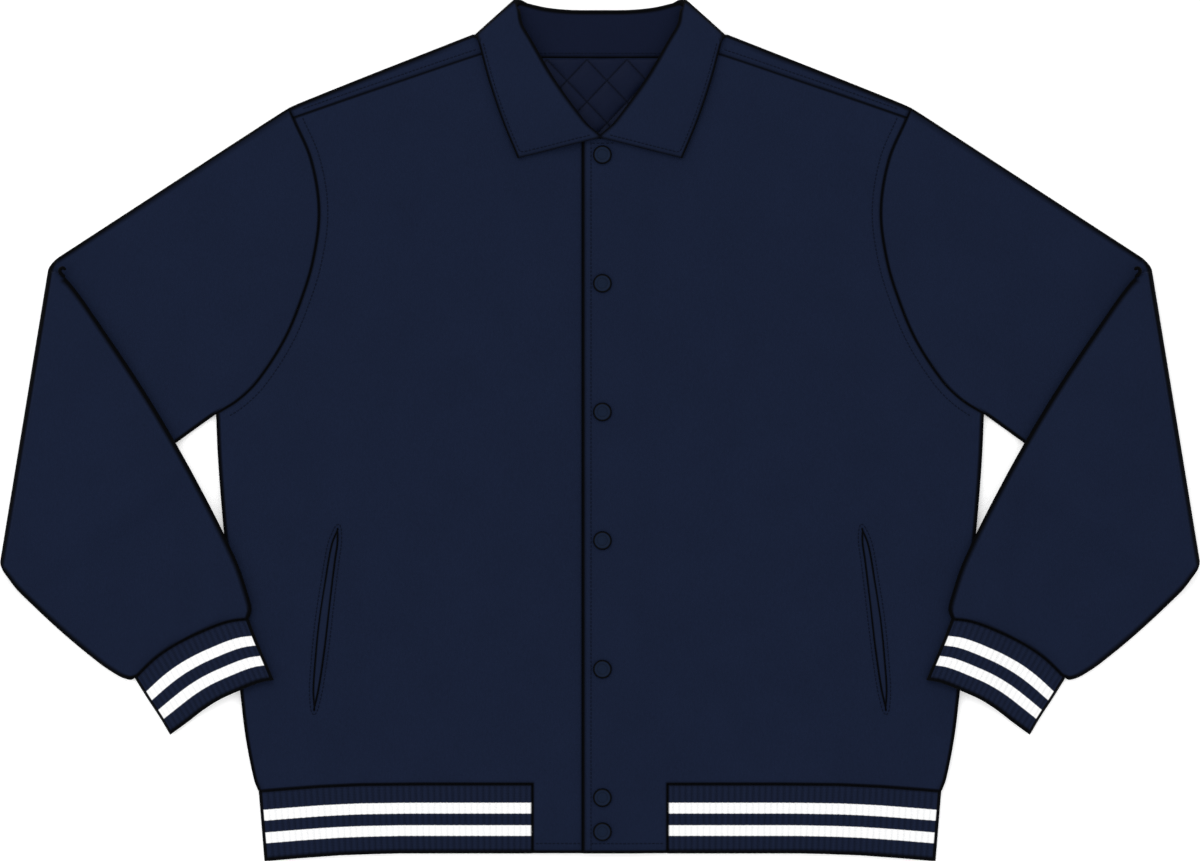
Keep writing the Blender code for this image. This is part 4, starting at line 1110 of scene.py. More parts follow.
def cuff(side, finish):
    """A rib knit cuff, ribbed all round."""
    width = round(length_of(CUFF_SEAM) / RIB_PITCH) * RIB_PITCH
    height = length_of(CUFF_INNER)
    t = np.linspace(0, 1, int(width / RIB_PITCH) * RIB_POINTS + 1)
    v = graded(height, CUFF_STEP, first=FIRST_ROWS, last=LAST_ROWS)
    seam_line = flow(CUFF_SEAM, at=t) - (0, SEAM_GAP)
    points = coons(flow(CUFF_INNER, at=v), flow(CUFF_OUTER, at=v), seam_line, flow(CUFF_EDGE, at=t), v, t)
    base = forearm_base(points)
    distance = t * width
    crest = np.broadcast_to(rib_profile(distance), base.shape)
    ends = rounded(np.minimum(distance, width - distance), CUFF_ROUND)[None, :]
    from_seam = v[:, None] * height
    to_edge = (1 - v[:, None]) * height
    turn = 1 - rounded(to_edge, EDGE_ROUND)
    tuck = CUFF_TUCK * (1 - rising(from_seam, CUFF_TUCK_REACH)) + EDGE_TUCK * turn
    top = HALF_STACK + (HALF_STACK + KNIT_RISE + RIB_RISE * (crest - 1) - tuck) * ends
    low = HALF_STACK - (HALF_STACK - UNDER_RIB * (1 - crest) - UNDER_TUCK * turn) * ends
    layers = []
    for z in (top, low):
        lean = np.zeros(points.shape)
        lean[..., 1] = joint_lean(z - HALF_STACK, from_seam)
        layers.append(world(side, points - lean, base + z))
    ring = np.concatenate([layers[0], layers[1][:, ::-1][:, 1:-1]], axis=1)
    valley = np.concatenate([1 - crest, (1 - crest)[:, ::-1][:, 1:-1]], axis=1)
    across = out_and_back(distance, distance)
    # painted shade at the seam, along the lower edge and at both ends
    dark = np.maximum(shade("seam", from_seam), shade("rib", to_edge))
    dark = np.maximum(dark, shade("rib", np.minimum(across, width - across)))
    cloth = Cloth()
    cloth.grid(ring, closed=True, along=v[:, None], down=from_seam, across=across, valley=valley, seam=dark)
    return line_with(cloth.make(f"cuff_{SIDES[side]}_rib", finish), KNIT_WALL)


def hem(finish):
    """The rib knit hem band, from one tab round the back to the other."""
    rows = graded(HEM_HEIGHT, HEM_STEP, first=FIRST_ROWS, last=LAST_ROWS)
    front = np.linspace(0, HEM_FRONT_RIBS * RIB_PITCH, HEM_FRONT_RIBS * RIB_POINTS + 1)
    rear = np.linspace(0, HEM_BACK_RIBS * RIB_PITCH, HEM_BACK_RIBS * BACK_RIB_POINTS + 1)
    turn = np.linspace(0, math.pi, HEM_TURN_STEPS)[1:-1]
    crest, rear_crest = rib_profile(front), rib_profile(rear)
    across = np.concatenate([front, front[-1] + HEM_TURN_RATE * turn, front[-1] + HEM_TURN_KNIT + rear])
    valley = np.concatenate([1 - crest, np.zeros(len(turn)), 1 - rear_crest])
    from_tab = np.concatenate([front, np.full(len(turn) + len(rear), np.inf)])
    wide, narrow = HEM_HALF_WIDTHS
    cloth = Cloth()
    for side in SIDES:
        grid, dark = [], []
        for part in rows:
            flat_to = wide + (narrow - wide) * part - HALF_STACK
            from_seam, to_edge = part * HEM_HEIGHT, (1 - part) * HEM_HEIGHT
            under = 1 - rounded(to_edge, EDGE_ROUND)
            tuck = EDGE_TUCK * (1 - rising(from_seam, SEAM_DIP)) + EDGE_TUCK * under
            z_front = STACK + KNIT_RISE + RIB_RISE * (crest - 1) - tuck - seam_drop(front)
            z_rear = UNDER_RIB * (1 - rear_crest) + UNDER_TUCK * under
            half_height = np.where(turn > math.pi / 2, HALF_STACK - z_rear[0], z_front[-1] - HALF_STACK)
            line = np.concatenate([TAB + SEAM_GAP + (flat_to - TAB - SEAM_GAP) * front / front[-1],
                                   flat_to + (HALF_STACK - HEM_SIDE_IN) * np.sin(turn),
                                   flat_to * (1 - rear / rear[-1])])
            z = np.concatenate([z_front, HALF_STACK + half_height * np.cos(turn), z_rear])
            top = height_of(HEM_SEAM, line) - SEAM_GAP - joint_lean(z - HALF_STACK, 0)
            low = height_of(HEM_EDGE, line)
            grid.append(world(side, np.column_stack([line, top + (low - top) * part]), z))
            # painted shade at the seam, along the lower edge, beside the tabs and round the sides
            border = np.maximum(shade("seam", from_seam), shade("rib", to_edge))
            at_side = shade("rib", flat_to + HALF_STACK - HEM_SIDE_IN - line)
            dark.append(np.maximum(np.maximum(shade("seam", from_tab), at_side), border))
        cloth.grid(np.array(grid), along=rows[:, None], down=rows[:, None] * HEM_HEIGHT, across=across,
                   valley=valley, seam=np.array(dark))
    return line_with(cloth.make("hem_rib_knit", finish, WIDE_WELD), KNIT_WALL)


# ---- collar, lining, pockets and snaps -----------------------------------------------------------

# Where a band's rows start and end along the collar's fold: on top, and under it
COLLAR_FOLD_TURN = ((5.5, -1.5), (46.4, 41.2))
STAND_FOLD_TURN = ((8.0, -1.0), (32.0, 30.0))
ROLL_INSET = 1.6        # of the collar's roll from its outline: half a wall and the roll's own radius
STAND_INSET = COLLAR_WALL + 1.2     # the stand's fold lies this far inside the collar's
FOLD_STEPS = 10         # round the collar's fold
LEAF_COLUMNS = (50.0, 3.0)          # how wide the leaf is, and from one column to the next
STAND_COLUMNS = (40.0, 5.0)         # and the stand
LEAF_ROWS = 46
FALL_ROWS = 20
LEAF_START = (84.0, 694.5)          # the fold, halfway from the roll to the leaf's edge
FALL_START = (79.0, 700.0)          # and the same on the fall
LEAF_CLEAR = 0.4        # more than cloth that lies flat
LEAF_PUFF = 1.3
LEAF_FOLDS = (((60, 690), (70, 600), 0.5, 9.0),)
STAND_TO_NECK = 0.35    # from the stand's edge up to the neck's
ROLL_HEIGHT = 1.7       # the roll stands out this far at most
ROLL_COLUMNS = 7

# Painted shade of the columns from three before the roll to three past it: on the leaf, at the fold, on the
# fall
LEAF_ROLL_DARK = (0.0, 0.0, 0.3, 0.85) + (1.0,) * ROLL_COLUMNS + (0.0, 0.0)
FOLD_ROLL_DARK = (0.0, 0.0, 0.0, 0.3) + (1.0,) * ROLL_COLUMNS + (0.0, 0.0)
FALL_ROLL_DARK = (0.0, 0.5, 1.0) + (1.0,) * ROLL_COLUMNS + (1.0, 0.5, 0.0)


def band_rows(front_grid, back_grid, front_z, back_z, turn, inset):
    """Half a collar band: rows from its front end round the fold to the centre back, columns from its rim."""
    top, bottom = np.array(COLLAR_FOLD, float)
    along = (bottom - top) / np.linalg.norm(bottom - top)
    toward = np.array([-abs(along[1]), -abs(along[0])])
    part = np.linspace(0, 1, front_grid.shape[1])
    rows = [np.column_stack([line, z]) for line, z in zip(front_grid[::-1], front_z[::-1])]
    high, low = rows[-1][:, 2], back_z[0]
    radius = (high - low) / 2
    for k in range(1, FOLD_STEPS):
        angle = math.pi * k / FOLD_STEPS
        first, last = [start + (end - start) * smooth(k / FOLD_STEPS) for start, end in turn]
        flat = top + along * (first + (last - first) * part)[:, None]
        flat = flat + toward * (inset + (1 - math.sin(angle)) * radius + COLLAR_WALL / 2)[:, None]
        rows.append(np.column_stack([flat, (high + low) / 2 + radius * math.cos(angle)]))
    rows += [np.column_stack([line, z]) for line, z in zip(back_grid, back_z)]
    return np.array(rows)


def between(first, second, rows, columns):
    """A grid straight across from one curve to another."""
    start = flow((first[0], second[0]), at=columns)
    end = flow((first[-1], second[-1]), at=columns)
    return coons(first, second, start, end, rows, columns)


def rolled_over(outer, inner):
    """Columns round the roll, from the first column of the collar's outside to the first of its stand."""
    first, second = outer[:, 0], inner[:, 0]
    middle, half = (first + second) / 2, (first - second) / 2
    size = np.linalg.norm(half, axis=1)[:, None]
    across = half / size
    away = unit(first - outer[:, 2])
    away = unit(away - across * np.sum(away * across, axis=1)[:, None])
    return [middle + across * size * math.cos(angle) + away * np.minimum(size, ROLL_HEIGHT) * math.sin(angle)
            for angle in np.linspace(0, math.pi, ROLL_COLUMNS + 2)[1:-1]]


def collar_dark(sheet, to_edge, stand_back):
    """Painted shade of the collar's edges, its fold, its roll and the stand's seam."""
    dark = np.zeros(sheet.shape[:2])
    columns = to_edge.shape[1]
    leaf, fold, fall = slice(0, LEAF_ROWS), slice(LEAF_ROWS, -FALL_ROWS), slice(-FALL_ROWS, None)
    outside, roll = slice(0, columns), slice(columns - 3, columns + ROLL_COLUMNS + 3)
    stand = slice(-stand_back.shape[1], None)
    flat = sheet[..., :2]
    fold_edge = near(flat[fold, outside], (COLLAR_EDGE[0], COLLAR_FOLD[1]))
    to_neck = near(stand_back, flow(BACK_NECK, step=4))
    for rows, across, value in (
            (leaf, outside, shade("edge", to_edge)[::-1, ::-1]),
            (slice(None), slice(None), shade("outer", near(flat, COLLAR_FOLD) - 0.6)),
            (fold, outside, shade("edge", fold_edge)),
            (leaf, roll, LEAF_ROLL_DARK), (fold, roll, FOLD_ROLL_DARK), (fall, roll, FALL_ROLL_DARK),
            (fall, stand, shade("edge", to_neck - 0.3))):
        dark[rows, across] = np.maximum(dark[rows, across], value)
    return dark


def collar(finish):
    """The turned-down collar and its stand, one folded sheet rolled over at the neck."""
    s, b = np.linspace(0, 1, LEAF_ROWS), np.linspace(0, 1, FALL_ROWS)
    u = graded(*LEAF_COLUMNS, last=(0.0, 0.9, 1.8, 3.0))
    w = graded(*STAND_COLUMNS, first=(0.0, 0.9, 1.9, 3.2))
    front_edge = flow(COLLAR_FRONT, at=u)
    roll = flow(COLLAR_ROLL, at=s)
    roll = roll + (aside(roll, -ROLL_INSET) - roll) * (1 - rising(s, over=0.15, start=0.85))[:, None]
    roll[-1] = front_edge[0]
    rim = flow(FALL_RIM, at=b) - (0, ROLL_INSET)
    fall_edge = flow(FALL_EDGE, at=b)
    leaf_start = flow((roll[0], LEAF_START, COLLAR_EDGE[0]), at=u)
    fall_start = flow((rim[0], FALL_START, FALL_EDGE[0]), at=u)
    leaf = coons(roll, flow(COLLAR_EDGE, at=s), leaf_start, front_edge, s, u)
    fall = coons(rim, fall_edge, fall_start, flow((rim[-1], fall_edge[-1]), at=u), b, u)
    to_edge = np.minimum(near(leaf, flow(COLLAR_EDGE, step=4)), near(leaf, flow(COLLAR_FRONT, step=4)))
    body = rising(to_edge, over=9, start=2) * rising(near(leaf, roll), over=8)
    leaf_z = front_base(leaf) + WALL + LAY_GAP + LEAF_CLEAR + COLLAR_WALL / 2 + lap_lift(leaf)
    leaf_z = leaf_z + body * (LEAF_PUFF + soft_folds(leaf, LEAF_FOLDS))
    outer = band_rows(leaf, fall, leaf_z, np.full(fall.shape[:2], COLLAR_WALL / 2), COLLAR_FOLD_TURN, 0.0)

    stand_roll = roll + (-1.2, -0.8) * (1 - s[:, None] ** 6)
    stand_front = between(stand_roll, flow(FRONT_NECK[:-1], at=s) + (-0.2, STAND_TO_NECK), s, w)
    stand_back = between(rim - (0, 0.4), flow(BACK_NECK, at=b) + (0, STAND_TO_NECK), b, w)
    front_z = front_base(stand_front) + COLLAR_WALL / 2
    to_neck = near(stand_back, flow(BACK_NECK, step=4))
    back_z = back_base(stand_back) + COLLAR_WALL / 2 - seam_drop(to_neck, depth=0.6)
    inner = band_rows(stand_front, stand_back, front_z, back_z, STAND_FOLD_TURN, STAND_INSET)

    sheet = np.concatenate([outer[:, ::-1], np.stack(rolled_over(outer, inner), 1), inner], axis=1)
    # the stand's inside is marked for the darker navy, partly painted shade of the neck's depth
    inside = np.zeros(sheet.shape[:2])
    inside[:, len(u) + ROLL_COLUMNS // 2:] = 1
    cloth = Cloth()
    for side in SIDES:
        cloth.grid(world(side, sheet[..., :2], sheet[..., 2]), seam=collar_dark(sheet, to_edge, stand_back),
                   inside=inside)
    return thicken(cloth.make("collar_cloth", finish, WIDE_WELD), COLLAR_WALL, round_edge=0.9)


QUILT_PITCH = 33.3
QUILT_ANGLE = math.radians(46.5)
QUILT_RISE = math.tan(QUILT_ANGLE)
QUILT_LINES = (
    # slope, out and up of a point of one line
    (-1, -10.6, 667.5),
    (1, -12.8, 665.8),
)
QUILT_STEP = 0.8
QUILT_PUFF = 2.3
PUFF_WIDTH = 3.4
CRINKLE = 0.16          # of the lining along its quilting lines
CRINKLE_REACH = 3.5
NECK_DIP = 0.8          # of the lining at the neck's seam


def quilt_families(points):
    """Distance from each point to the nearest line of each family of quilting lines."""
    x, up = points[..., 0], points[..., 1]
    shares = [(x - out - slope * (up - at) / QUILT_RISE) / QUILT_PITCH for slope, out, at in QUILT_LINES]
    return [np.abs(share - np.round(share)) * (QUILT_PITCH * math.sin(QUILT_ANGLE)) for share in shares]


def back_lining(finish):
    """The quilted lining inside the back of the neck, puffed between its quilting lines."""
    (width, top), (_, low) = LINING
    x = np.arange(-width, width + QUILT_STEP / 2, QUILT_STEP)
    up = np.arange(low, top + QUILT_STEP / 2, QUILT_STEP)
    points = np.stack(np.meshgrid(x, up), -1)
    first, second = quilt_families(points)
    near_line = np.minimum(first, second)
    puff = QUILT_PUFF * (1 - np.exp(-first / PUFF_WIDTH)) * (1 - np.exp(-second / PUFF_WIDTH))
    crinkle = CRINKLE * np.sin(x / 1.9 + 2.1 * np.sin(up[:, None] / 5.7)) * np.exp(-near_line / CRINKLE_REACH)
    from_neck = height_of(BACK_NECK, np.abs(points[..., 0])) - points[..., 1]
    z = back_base(points) + WALL + LAY_GAP + LINING_WALL + puff + crinkle * (puff > 0.2)
    z = z - NECK_DIP * (1 - rising(from_neck, over=4))
    cloth = Cloth()
    # painted shade along the quilting lines and at the neck's seam
    dark = np.maximum(0.85 * shade("quilt", near_line), shade("quilt", from_neck))
    cloth.grid(world(1, points, z), seam=dark)
    return line_with(cloth.make("back_lining_quilt", finish), LINING_WALL)


WELT_LENGTH = 160
WELT_STEP = 2.6
WELT_COLUMNS = 15
WELT_WALL = 1.2
WELT_CLEAR = 0.2        # of the front under it
WELT_HEIGHT = 1.25      # of its rounded edges
WELT_ROUND = 1.6        # how far the rounding reaches
WELT_PUFF = 0.35        # more in its middle


def welt(side, finish):
    """A pocket welt: a narrow raised lens, with painted shade round its edge."""
    rows = graded(WELT_LENGTH, WELT_STEP)
    left, right = flow(WELT_LEFT, at=rows), flow(WELT_RIGHT[::-1], at=rows)
    u = np.linspace(0, 1, WELT_COLUMNS)
    points = left[:, None] * (1 - u)[None, :, None] + right[:, None] * u[None, :, None]
    width = np.linalg.norm(left - right, axis=1)[:, None]
    across = u[None, :] * width
    edge = np.minimum(across, width - across)
    z = (STACK + WELT_CLEAR + WELT_HEIGHT * rounded(edge, WELT_ROUND)
         + WELT_PUFF * np.sin(math.pi * u)[None, :] * rising(width, over=8))
    # painted shade round the edge and at both ends
    dark = shade("welt", edge)
    dark[[0, -1]] = 1
    cloth = Cloth()
    cloth.grid(world(side, points, z), seam=dark)
    return line_with(cloth.make(f"welt_{SIDES[side]}_cloth", finish, WIDE_WELD), WELT_WALL)


SNAP_OUT = 2.0          # from the centre line toward the wearer's left
SNAP_SIDES = 64
SNAP_UPS = (588.3, 481.3, 374.2, 267.1, 160.0, 53.0, 24.6)
SNAP_PROFILE = (
    # from the centre, height, painted shade
    (0.0, 2.12, 0.0), (2.0, 2.13, 0.0), (3.4, 2.10, 0.0), (3.9, 2.04, 0.1), (4.2, 1.96, 0.35),
    (4.5, 2.04, 0.1), (4.9, 2.14, 0.0), (5.5, 2.24, 0.0), (6.0, 2.28, 0.0), (6.3, 2.26, 0.1),
    (6.5, 2.20, 0.9), (6.9, 2.04, 1.0), (7.3, 1.80, 1.0), (7.6, 1.50, 1.0), (7.76, 1.15, 1.0),
    (7.80, 0.80, 1.0), (7.70, 0.45, 1.0), (7.3, 0.0, 1.0), (4.0, 0.0, 1.0), (0.0, 0.0, 1.0),
)


def snap(number, base, finish):
    """A pressed snap cap: a shallow dome in a groove, with a rolled rim."""
    radius, height, dark = np.array(SNAP_PROFILE)[::-1].T[..., None]
    angles = np.linspace(0, 2 * math.pi, SNAP_SIDES, endpoint=False)
    middle_up = SNAP_UPS[number - 1]
    points = np.stack([SNAP_OUT + radius * np.cos(angles), middle_up + radius * np.sin(angles)], -1)
    cloth = Cloth()
    # the profile's last column paints shade in the groove and down the rolled rim
    cloth.grid(world(1, points, np.broadcast_to(height + base, points.shape[:2])), closed=True, seam=dark)
    return cloth.make(f"snap_{number}_cap", finish)


# ---- stitching -----------------------------------------------------------------------------------

STITCH = 2.5            # length
STITCH_PITCH = 3.3
THREAD = 0.68           # thickness
STITCH_SINK = 0.1       # share of the thread that lies in the cloth
STITCH_SIDES = 6
STITCH_SHAPE = ((-0.5, 0.0), (-0.44, 0.6), (-0.3, 0.95), (0.0, 1.0), (0.3, 0.95), (0.44, 0.6), (0.5, 0.0))


def row_of_stitches(tree, line, pitch, length, radius):
    """World ends of stitches along a line of world x, y in millimetres, each lying on the cloth under it."""
    reached = travelled(line)
    count = max(1, int(reached[-1] / pitch))
    made = []
    for middle in (np.arange(count) + 0.5) * reached[-1] / count:
        flat = points_at(line, reached, (middle - length / 2, middle + length / 2))
        heights = [drop(tree, x * MM, y * MM) for x, y in flat]
        if None not in heights:
            z = np.array(heights) / MM + radius * (1 - 2 * STITCH_SINK)
            made.append(np.column_stack([flat, z]))
    return made


def stitches(name, rows, finish, radius):
    """All the stitches of some rows as one piece: along each, rings with rounded ends."""
    places, sizes = np.array(STITCH_SHAPE).T[..., None, None]
    angles = np.linspace(0, 2 * math.pi, STITCH_SIDES, endpoint=False)[:, None]
    cloth = Cloth()
    for start, end in rows:
        along = end - start
        side = np.cross((0, 0, 1.0), along)
        side /= np.linalg.norm(side)
        up = np.cross(along, side) / np.linalg.norm(along)
        ring = (side * np.cos(angles) + up * np.sin(angles) * 0.8) * radius
        cloth.grid(((start + end) / 2 + along * places + ring * sizes) * MM, closed=True)
    return cloth.make(name, finish)


def on_cloth(side, line):
    """Pattern points as world x, y in millimetres."""
    line = np.asarray(line, float)
    return np.column_stack([side * line[:, 0], line[:, 1] - MIDDLE])


# ---- sizes and colours ---------------------------------------------------------------------------


class JacketSizes(bpy.types.PropertyGroup):
    """Sizes that a user may change."""
    grid_step: bpy.props.FloatProperty(
        name="Cloth grid", description="How far apart the points of the fronts are, in millimetres",
        default=3.2, min=2.0, max=12.0)
    stitch_length: bpy.props.FloatProperty(
        name="Stitch length", description="Length of one topstitch", default=STITCH * MM, unit="LENGTH")
    stitch_pitch: bpy.props.FloatProperty(
        name="Stitch pitch", description="From one topstitch to the next", default=STITCH_PITCH * MM,
        unit="LENGTH")
    stitch_thickness: bpy.props.FloatProperty(
        name="Thread thickness", description="Thickness of the topstitching thread", default=THREAD * MM,
        unit="LENGTH")
    camera_height: bpy.props.FloatProperty(
        name="Camera height", description="How far the camera is above the cloth", default=5.556,
        unit="LENGTH")


class JacketColours(bpy.types.PropertyGroup):
    """Colours that a user may change."""
    shell: bpy.props.FloatVectorProperty(
        name="Shell", description="Cloth of the body, the sleeves, the collar and the welts", subtype="COLOR",
        default=(0.0063, 0.0107, 0.0285))
    rib: bpy.props.FloatVectorProperty(
        name="Rib", description="Knit of the cuffs and the hem", subtype="COLOR",
        default=(0.0070, 0.0113, 0.0295))
    stripe: bpy.props.FloatVectorProperty(
        name="Stripe", description="Stripes in the rib knit", subtype="COLOR", default=(0.97, 0.97, 0.97))
    lining: bpy.props.FloatVectorProperty(
        name="Lining", description="Quilted satin", subtype="COLOR", default=(0.0042, 0.0068, 0.0200))
    thread: bpy.props.FloatVectorProperty(
        name="Thread", description="Topstitching", subtype="COLOR", default=(0.0028, 0.0045, 0.0125))
    snap: bpy.props.FloatVectorProperty(
        name="Snaps", description="Enamel of the snap caps", subtype="COLOR",
        default=(0.0050, 0.0100, 0.0250))
    floor: bpy.props.FloatVectorProperty(
        name="Floor", description="Paper under the jacket", subtype="COLOR", default=(0.92, 0.92, 0.92))


def finish_for(slot):
    """The finish of a material slot, made once."""
    colours = bpy.context.scene.jacket_colours
    makers = {
        "shell": ("navy_melton", lambda: melton(colours.shell, colours.lining)),
        "cuff": ("navy_rib_cuff", lambda: rib_knit(colours.rib, colours.stripe, CUFF_BANDS, "navy_rib_cuff")),
        "hem": ("navy_rib_hem", lambda: rib_knit(colours.rib, colours.stripe, HEM_BANDS, "navy_rib_hem")),
        "lining": ("navy_lining_satin", lambda: quilted_satin(colours.lining)),
        "thread": ("navy_thread", lambda: thread(colours.thread)),
        "snap": ("navy_snap_enamel", lambda: enamel(colours.snap)),
        "floor": ("white_paper", lambda: pale_floor(colours.floor)),
    }
    name, maker = makers[slot]
    return bpy.data.materials.get(name) or maker()


def belongs(piece, slot_name, *nodes):
    """Say what a piece rides on and hide what it replaces. slot_name, whose finish it has, is not used."""
    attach(piece, "root")
    if nodes:
        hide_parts(*nodes)
    return piece


# ---- operators -----------------------------------------------------------------------------------


class JACKET_OT_back(bpy.types.Operator):
    """Make the back panel, rolled over the shoulders"""
    bl_idname = "jacket.back"
    bl_label = "Back"

    def execute(self, context):
        piece = belongs(back(finish_for("shell")), "shell", "back")
        return {"FINISHED"}


class JACKET_OT_fronts(bpy.types.Operator):
    """Make both fronts with their tabs, the wearer's left lapped over the right"""
    bl_idname = "jacket.fronts"
    bl_label = "Fronts"

    def execute(self, context):
        step = context.scene.jacket_sizes.grid_step
        for side, word in SIDES.items():
            piece = belongs(front(side, finish_for("shell"), step), "shell", f"front_{word}")
        return {"FINISHED"}


class JACKET_OT_sleeves(bpy.types.Operator):
    """Make both sleeves, folded forward at the elbow"""
    bl_idname = "jacket.sleeves"
    bl_label = "Sleeves"

    def execute(self, context):
        for side, word in SIDES.items():
            piece = belongs(sleeve(side, finish_for("shell")), "shell", f"sleeve_{word}")
            belongs(elbow_tuck(side, finish_for("shell")), "shell")
        return {"FINISHED"}


class JACKET_OT_cuffs(bpy.types.Operator):
    """Knit both cuffs, with two stripes"""
    bl_idname = "jacket.cuffs"
    bl_label = "Cuffs"

    def execute(self, context):
        for side, word in SIDES.items():
            piece = belongs(cuff(side, finish_for("cuff")), "rib", f"cuff_{word}")
        return {"FINISHED"}


class JACKET_OT_hem(bpy.types.Operator):
    """Knit the hem band, with two stripes, from one tab round the back to the other"""
    bl_idname = "jacket.hem"
    bl_label = "Hem band"

    def execute(self, context):
        piece = belongs(hem(finish_for("hem")), "rib", "hem_rib")
        return {"FINISHED"}


class JACKET_OT_collar(bpy.types.Operator):
    """Make the turned-down collar and its stand"""
    bl_idname = "jacket.collar"
    bl_label = "Collar"

    def execute(self, context):
        piece = belongs(collar(finish_for("shell")), "shell", "collar", "collar_stand")
        return {"FINISHED"}


class JACKET_OT_lining(bpy.types.Operator):
    """Quilt the lining inside the back of the neck"""
    bl_idname = "jacket.lining"
    bl_label = "Lining"

    def execute(self, context):
        piece = belongs(back_lining(finish_for("lining")), "lining", "back_lining")
        return {"FINISHED"}


class JACKET_OT_welts(bpy.types.Operator):
    """Make both pocket welts"""
    bl_idname = "jacket.welts"
    bl_label = "Pocket welts"

    def execute(self, context):
        for side, word in SIDES.items():
            piece = belongs(welt(side, finish_for("shell")), "shell", f"welt_{word}")
        return {"FINISHED"}


class JACKET_OT_snaps(bpy.types.Operator):
    """Turn the seven snap caps"""
    bl_idname = "jacket.snaps"
    bl_label = "Snaps"

    def execute(self, context):
        for number in range(1, len(SNAP_UPS) + 1):
            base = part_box(f"snap_{number}")[0][2] / MM
            belongs(snap(number, base, finish_for("snap")), "snap", f"snap_{number}")
        return {"FINISHED"}


PLACKET_ROWS = (((-7.5, 598.9), (-7.5, 8.5)), ((-7.5, 597.9), (12.0, 597.9)),
                ((-54.0, 14.6), (-16.0, 14.6)), ((-8.5, 14.6), (53.0, 14.6)))
ROW_STEP = 3                        # from one point of a row to the next
ARMHOLE_ROW = 7.0                   # how far the rows lie from their seams and edges
LEAF_EDGE_ROW = 3.6
LEAF_FRONT_ROW = 4.0
WELT_ROW = 2.6
NECK_ROW = 4.2
NECK_ROW_END = 52                   # how far out it reaches
LEAF_FRONT_START = 7.0              # how far out that row starts
LEAF_CORNER = (-1.9, 5.6)           # where two rows meet, from the leaf's own corner
CORNER_CLEAR = 1.5                  # no other point of theirs is closer to it
SHOULDER_SHIFT = (1.4, 4.3)
SHOULDER_ROW = (101, 249)           # how far out it starts and ends
NECK_SHOWS = ((600, 612, 650, 684), (4, 14, 38, 57))        # ups, and how far out the lining shows there
QUILT_UPS = (600.0, 668.0)
QUILT_MOST = 5                      # lines of a family to each side of its first
SHORTEST = 4                        # a shorter piece of a line isn't sewn
SEWN = ("front_left_cloth", "front_right_cloth", "back_cloth", "collar_cloth", "back_lining_quilt",
        "welt_left_cloth", "welt_right_cloth")


def armhole_stitches():
    return [aside(flow(ARMHOLE, step=ROW_STEP), ARMHOLE_ROW)[4:-3]]


def shoulder_stitches():
    line = flow(SHOULDER_SEAM, step=ROW_STEP) + SHOULDER_SHIFT
    return [line[(line[:, 0] > SHOULDER_ROW[0]) & (line[:, 0] < SHOULDER_ROW[1])]]


def collar_stitches():
    corner = np.array(COLLAR_EDGE[-1]) + LEAF_CORNER
    outer = aside(flow(COLLAR_EDGE, step=ROW_STEP), LEAF_EDGE_ROW)
    lower = aside(flow(COLLAR_FRONT, step=ROW_STEP), -LEAF_FRONT_ROW)
    outer = outer[outer[:, 1] > corner[1] + CORNER_CLEAR]
    lower = lower[(lower[:, 0] < corner[0] - CORNER_CLEAR) & (lower[:, 0] > LEAF_FRONT_START)]
    return [np.vstack([outer, [corner]]), np.vstack([[corner], lower[::-1]])]


def welt_stitches():
    """One closed loop round a pocket's opening."""
    left = aside(flow(WELT_LEFT, step=ROW_STEP), WELT_ROW)[1:-1]
    right = aside(flow(WELT_RIGHT, step=ROW_STEP), WELT_ROW)[1:-1]
    top = np.array(WELT_LEFT[-1]) + (-0.4, WELT_ROW)
    bottom = np.array(WELT_LEFT[0]) + (0.3, -WELT_ROW)
    return [flow(np.vstack([left, [top], right, [bottom], left[:1]]), step=1.5)]


def neck_stitches():
    """One row round the back of the neck, across both sides."""
    line = flow(BACK_NECK, step=ROW_STEP) + (0, NECK_ROW)
    line = line[line[:, 0] < NECK_ROW_END]
    return np.vstack([line * (-1, 1), line[::-1][1:]])


def quilting():
    """The quilting lines where the neck shows them, as world x, y in millimetres."""
    rows = []
    up = np.arange(*QUILT_UPS, 1.0)
    for slope, out, at in QUILT_LINES:
        for k in range(-QUILT_MOST, QUILT_MOST + 1):
            x = out + k * QUILT_PITCH + slope * (up - at) / QUILT_RISE
            shown = np.abs(x) < np.interp(up, *NECK_SHOWS)
            if shown.sum() > SHORTEST:
                rows.append(on_cloth(1, np.column_stack([x, up])[shown]))
    return rows


class JACKET_OT_stitches(bpy.types.Operator):
    """Sew the topstitching and the quilting, stitch by stitch"""
    bl_idname = "jacket.stitches"
    bl_label = "Stitching"

    def execute(self, context):
        sizes = context.scene.jacket_sizes
        length, pitch = sizes.stitch_length / MM, sizes.stitch_pitch / MM
        radius = sizes.stitch_thickness / MM / 2
        outside = above([bpy.data.objects[name] for name in SEWN])
        lining = above([bpy.data.objects["back_lining_quilt"]])
        both_sides = [on_cloth(side, line) for side in SIDES
                      for line in armhole_stitches() + shoulder_stitches() + welt_stitches()]
        collar_sides = [on_cloth(side, line) for side in SIDES for line in collar_stitches()]
        for word, slot, tree, lines in (
                ("body", "shell", outside, both_sides + [on_cloth(1, line) for line in PLACKET_ROWS]),
                ("collar", "shell", outside, collar_sides + [on_cloth(1, neck_stitches())]),
                ("lining", "lining", lining, quilting())):
            rows = [row for line in lines for row in row_of_stitches(tree, line, pitch, length, radius)]
            belongs(stitches(f"stitches_{word}", rows, finish_for("thread"), radius), slot)
        return {"FINISHED"}


FLOOR_HALF = 6.0        # metres
FLOOR_DROP = 0.0003     # just under the cloth
LIGHTS = (
    # name, place, size, power
    ("light_top", (-0.5, 1.5, 2.4), 1.8, 20.0),
    ("light_side", (-1.9, -0.3, 1.9), 1.4, 7.0),
    ("light_fill", (1.9, -0.6, 2.1), 1.8, 6.0),
)
SKY_STRENGTH = 0.92
SENSOR = 36.0
CLOTH_TOP = 0.006       # the height that the camera is set from


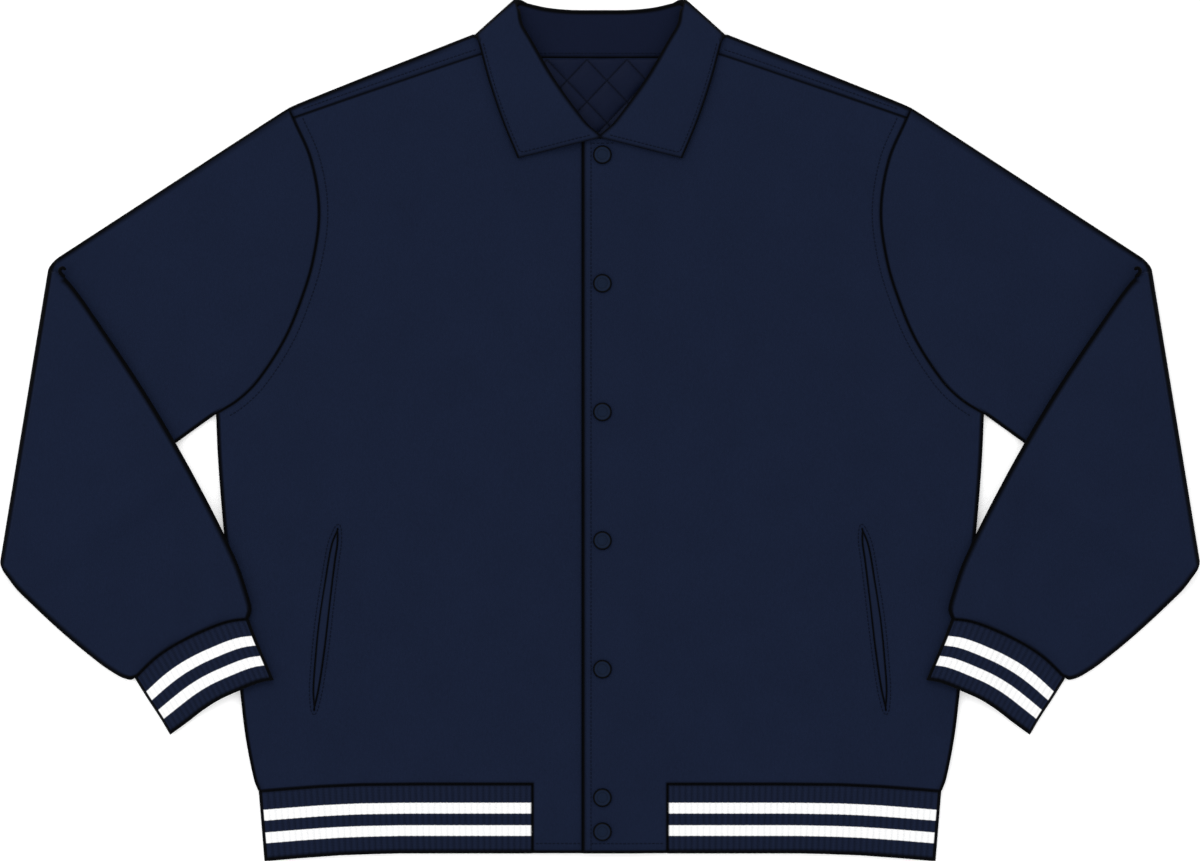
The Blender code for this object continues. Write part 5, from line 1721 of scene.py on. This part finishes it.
class JACKET_OT_stage(bpy.types.Operator):
    """Lay the floor, light it softly and set the camera straight above"""
    bl_idname = "jacket.stage"
    bl_label = "Floor, lights and camera"

    def execute(self, context):
        scene = context.scene
        mesh = bpy.data.meshes.new("floor")
        corners = [(x * FLOOR_HALF, y * FLOOR_HALF, 0) for x, y in ((-1, -1), (1, -1), (1, 1), (-1, 1))]
        mesh.from_pydata(corners, [], [(0, 1, 2, 3)])
        mesh.materials.append(finish_for("floor"))
        made = [put("floor", mesh, (0, 0, -FLOOR_DROP))]
        for name, place, size, power in LIGHTS:
            lamp = bpy.data.lights.new(name, "AREA")
            lamp.size = size
            lamp.energy = power
            light = put(name, lamp, place)
            light.rotation_euler = Vector(place).to_track_quat("Z", "Y").to_euler()
            made.append(light)
        sky = bpy.data.worlds.new("studio")
        sky.use_nodes = True
        background = sky.node_tree.nodes["Background"]
        background.inputs["Color"].default_value = (1, 1, 1, 1)
        background.inputs["Strength"].default_value = SKY_STRENGTH
        scene.world = sky
        height = scene.jacket_sizes.camera_height
        lens = bpy.data.cameras.new("camera")
        lens.sensor_width = SENSOR
        lens.lens = SENSOR * height
        scene.camera = put("camera", lens, (0, 0, height + CLOTH_TOP))
        made.append(scene.camera)
        scene.view_settings.view_transform = "Standard"
        scene.view_settings.look = "None"
        return {"FINISHED"}


class JACKET_PT_panel(bpy.types.Panel):
    """The jacket's sizes, colours and pieces"""
    bl_idname = "JACKET_PT_panel"
    bl_label = "Varsity jacket"
    bl_space_type = "VIEW_3D"
    bl_region_type = "UI"
    bl_category = "Jacket"

    def draw(self, context):
        for group in (context.scene.jacket_sizes, context.scene.jacket_colours):
            for name in group.__annotations__:
                self.layout.prop(group, name)
        for operator in OPERATORS:
            self.layout.operator(operator.bl_idname)


OPERATORS = (JACKET_OT_back, JACKET_OT_fronts, JACKET_OT_sleeves, JACKET_OT_cuffs, JACKET_OT_hem,
             JACKET_OT_collar, JACKET_OT_lining, JACKET_OT_welts, JACKET_OT_snaps, JACKET_OT_stitches,
             JACKET_OT_stage)
CLASSES = (JacketSizes, JacketColours, *OPERATORS, JACKET_PT_panel)


def register():
    for kind in CLASSES:
        bpy.utils.register_class(kind)
    bpy.types.Scene.jacket_sizes = bpy.props.PointerProperty(type=JacketSizes)
    bpy.types.Scene.jacket_colours = bpy.props.PointerProperty(type=JacketColours)


def unregister():
    del bpy.types.Scene.jacket_colours
    del bpy.types.Scene.jacket_sizes
    for kind in reversed(CLASSES):
        bpy.utils.unregister_class(kind)


def main():
    register()
    for operator in OPERATORS:
        group, name = operator.bl_idname.split(".")
        getattr(getattr(bpy.ops, group), name)()


if __name__ == "__main__":
    main()
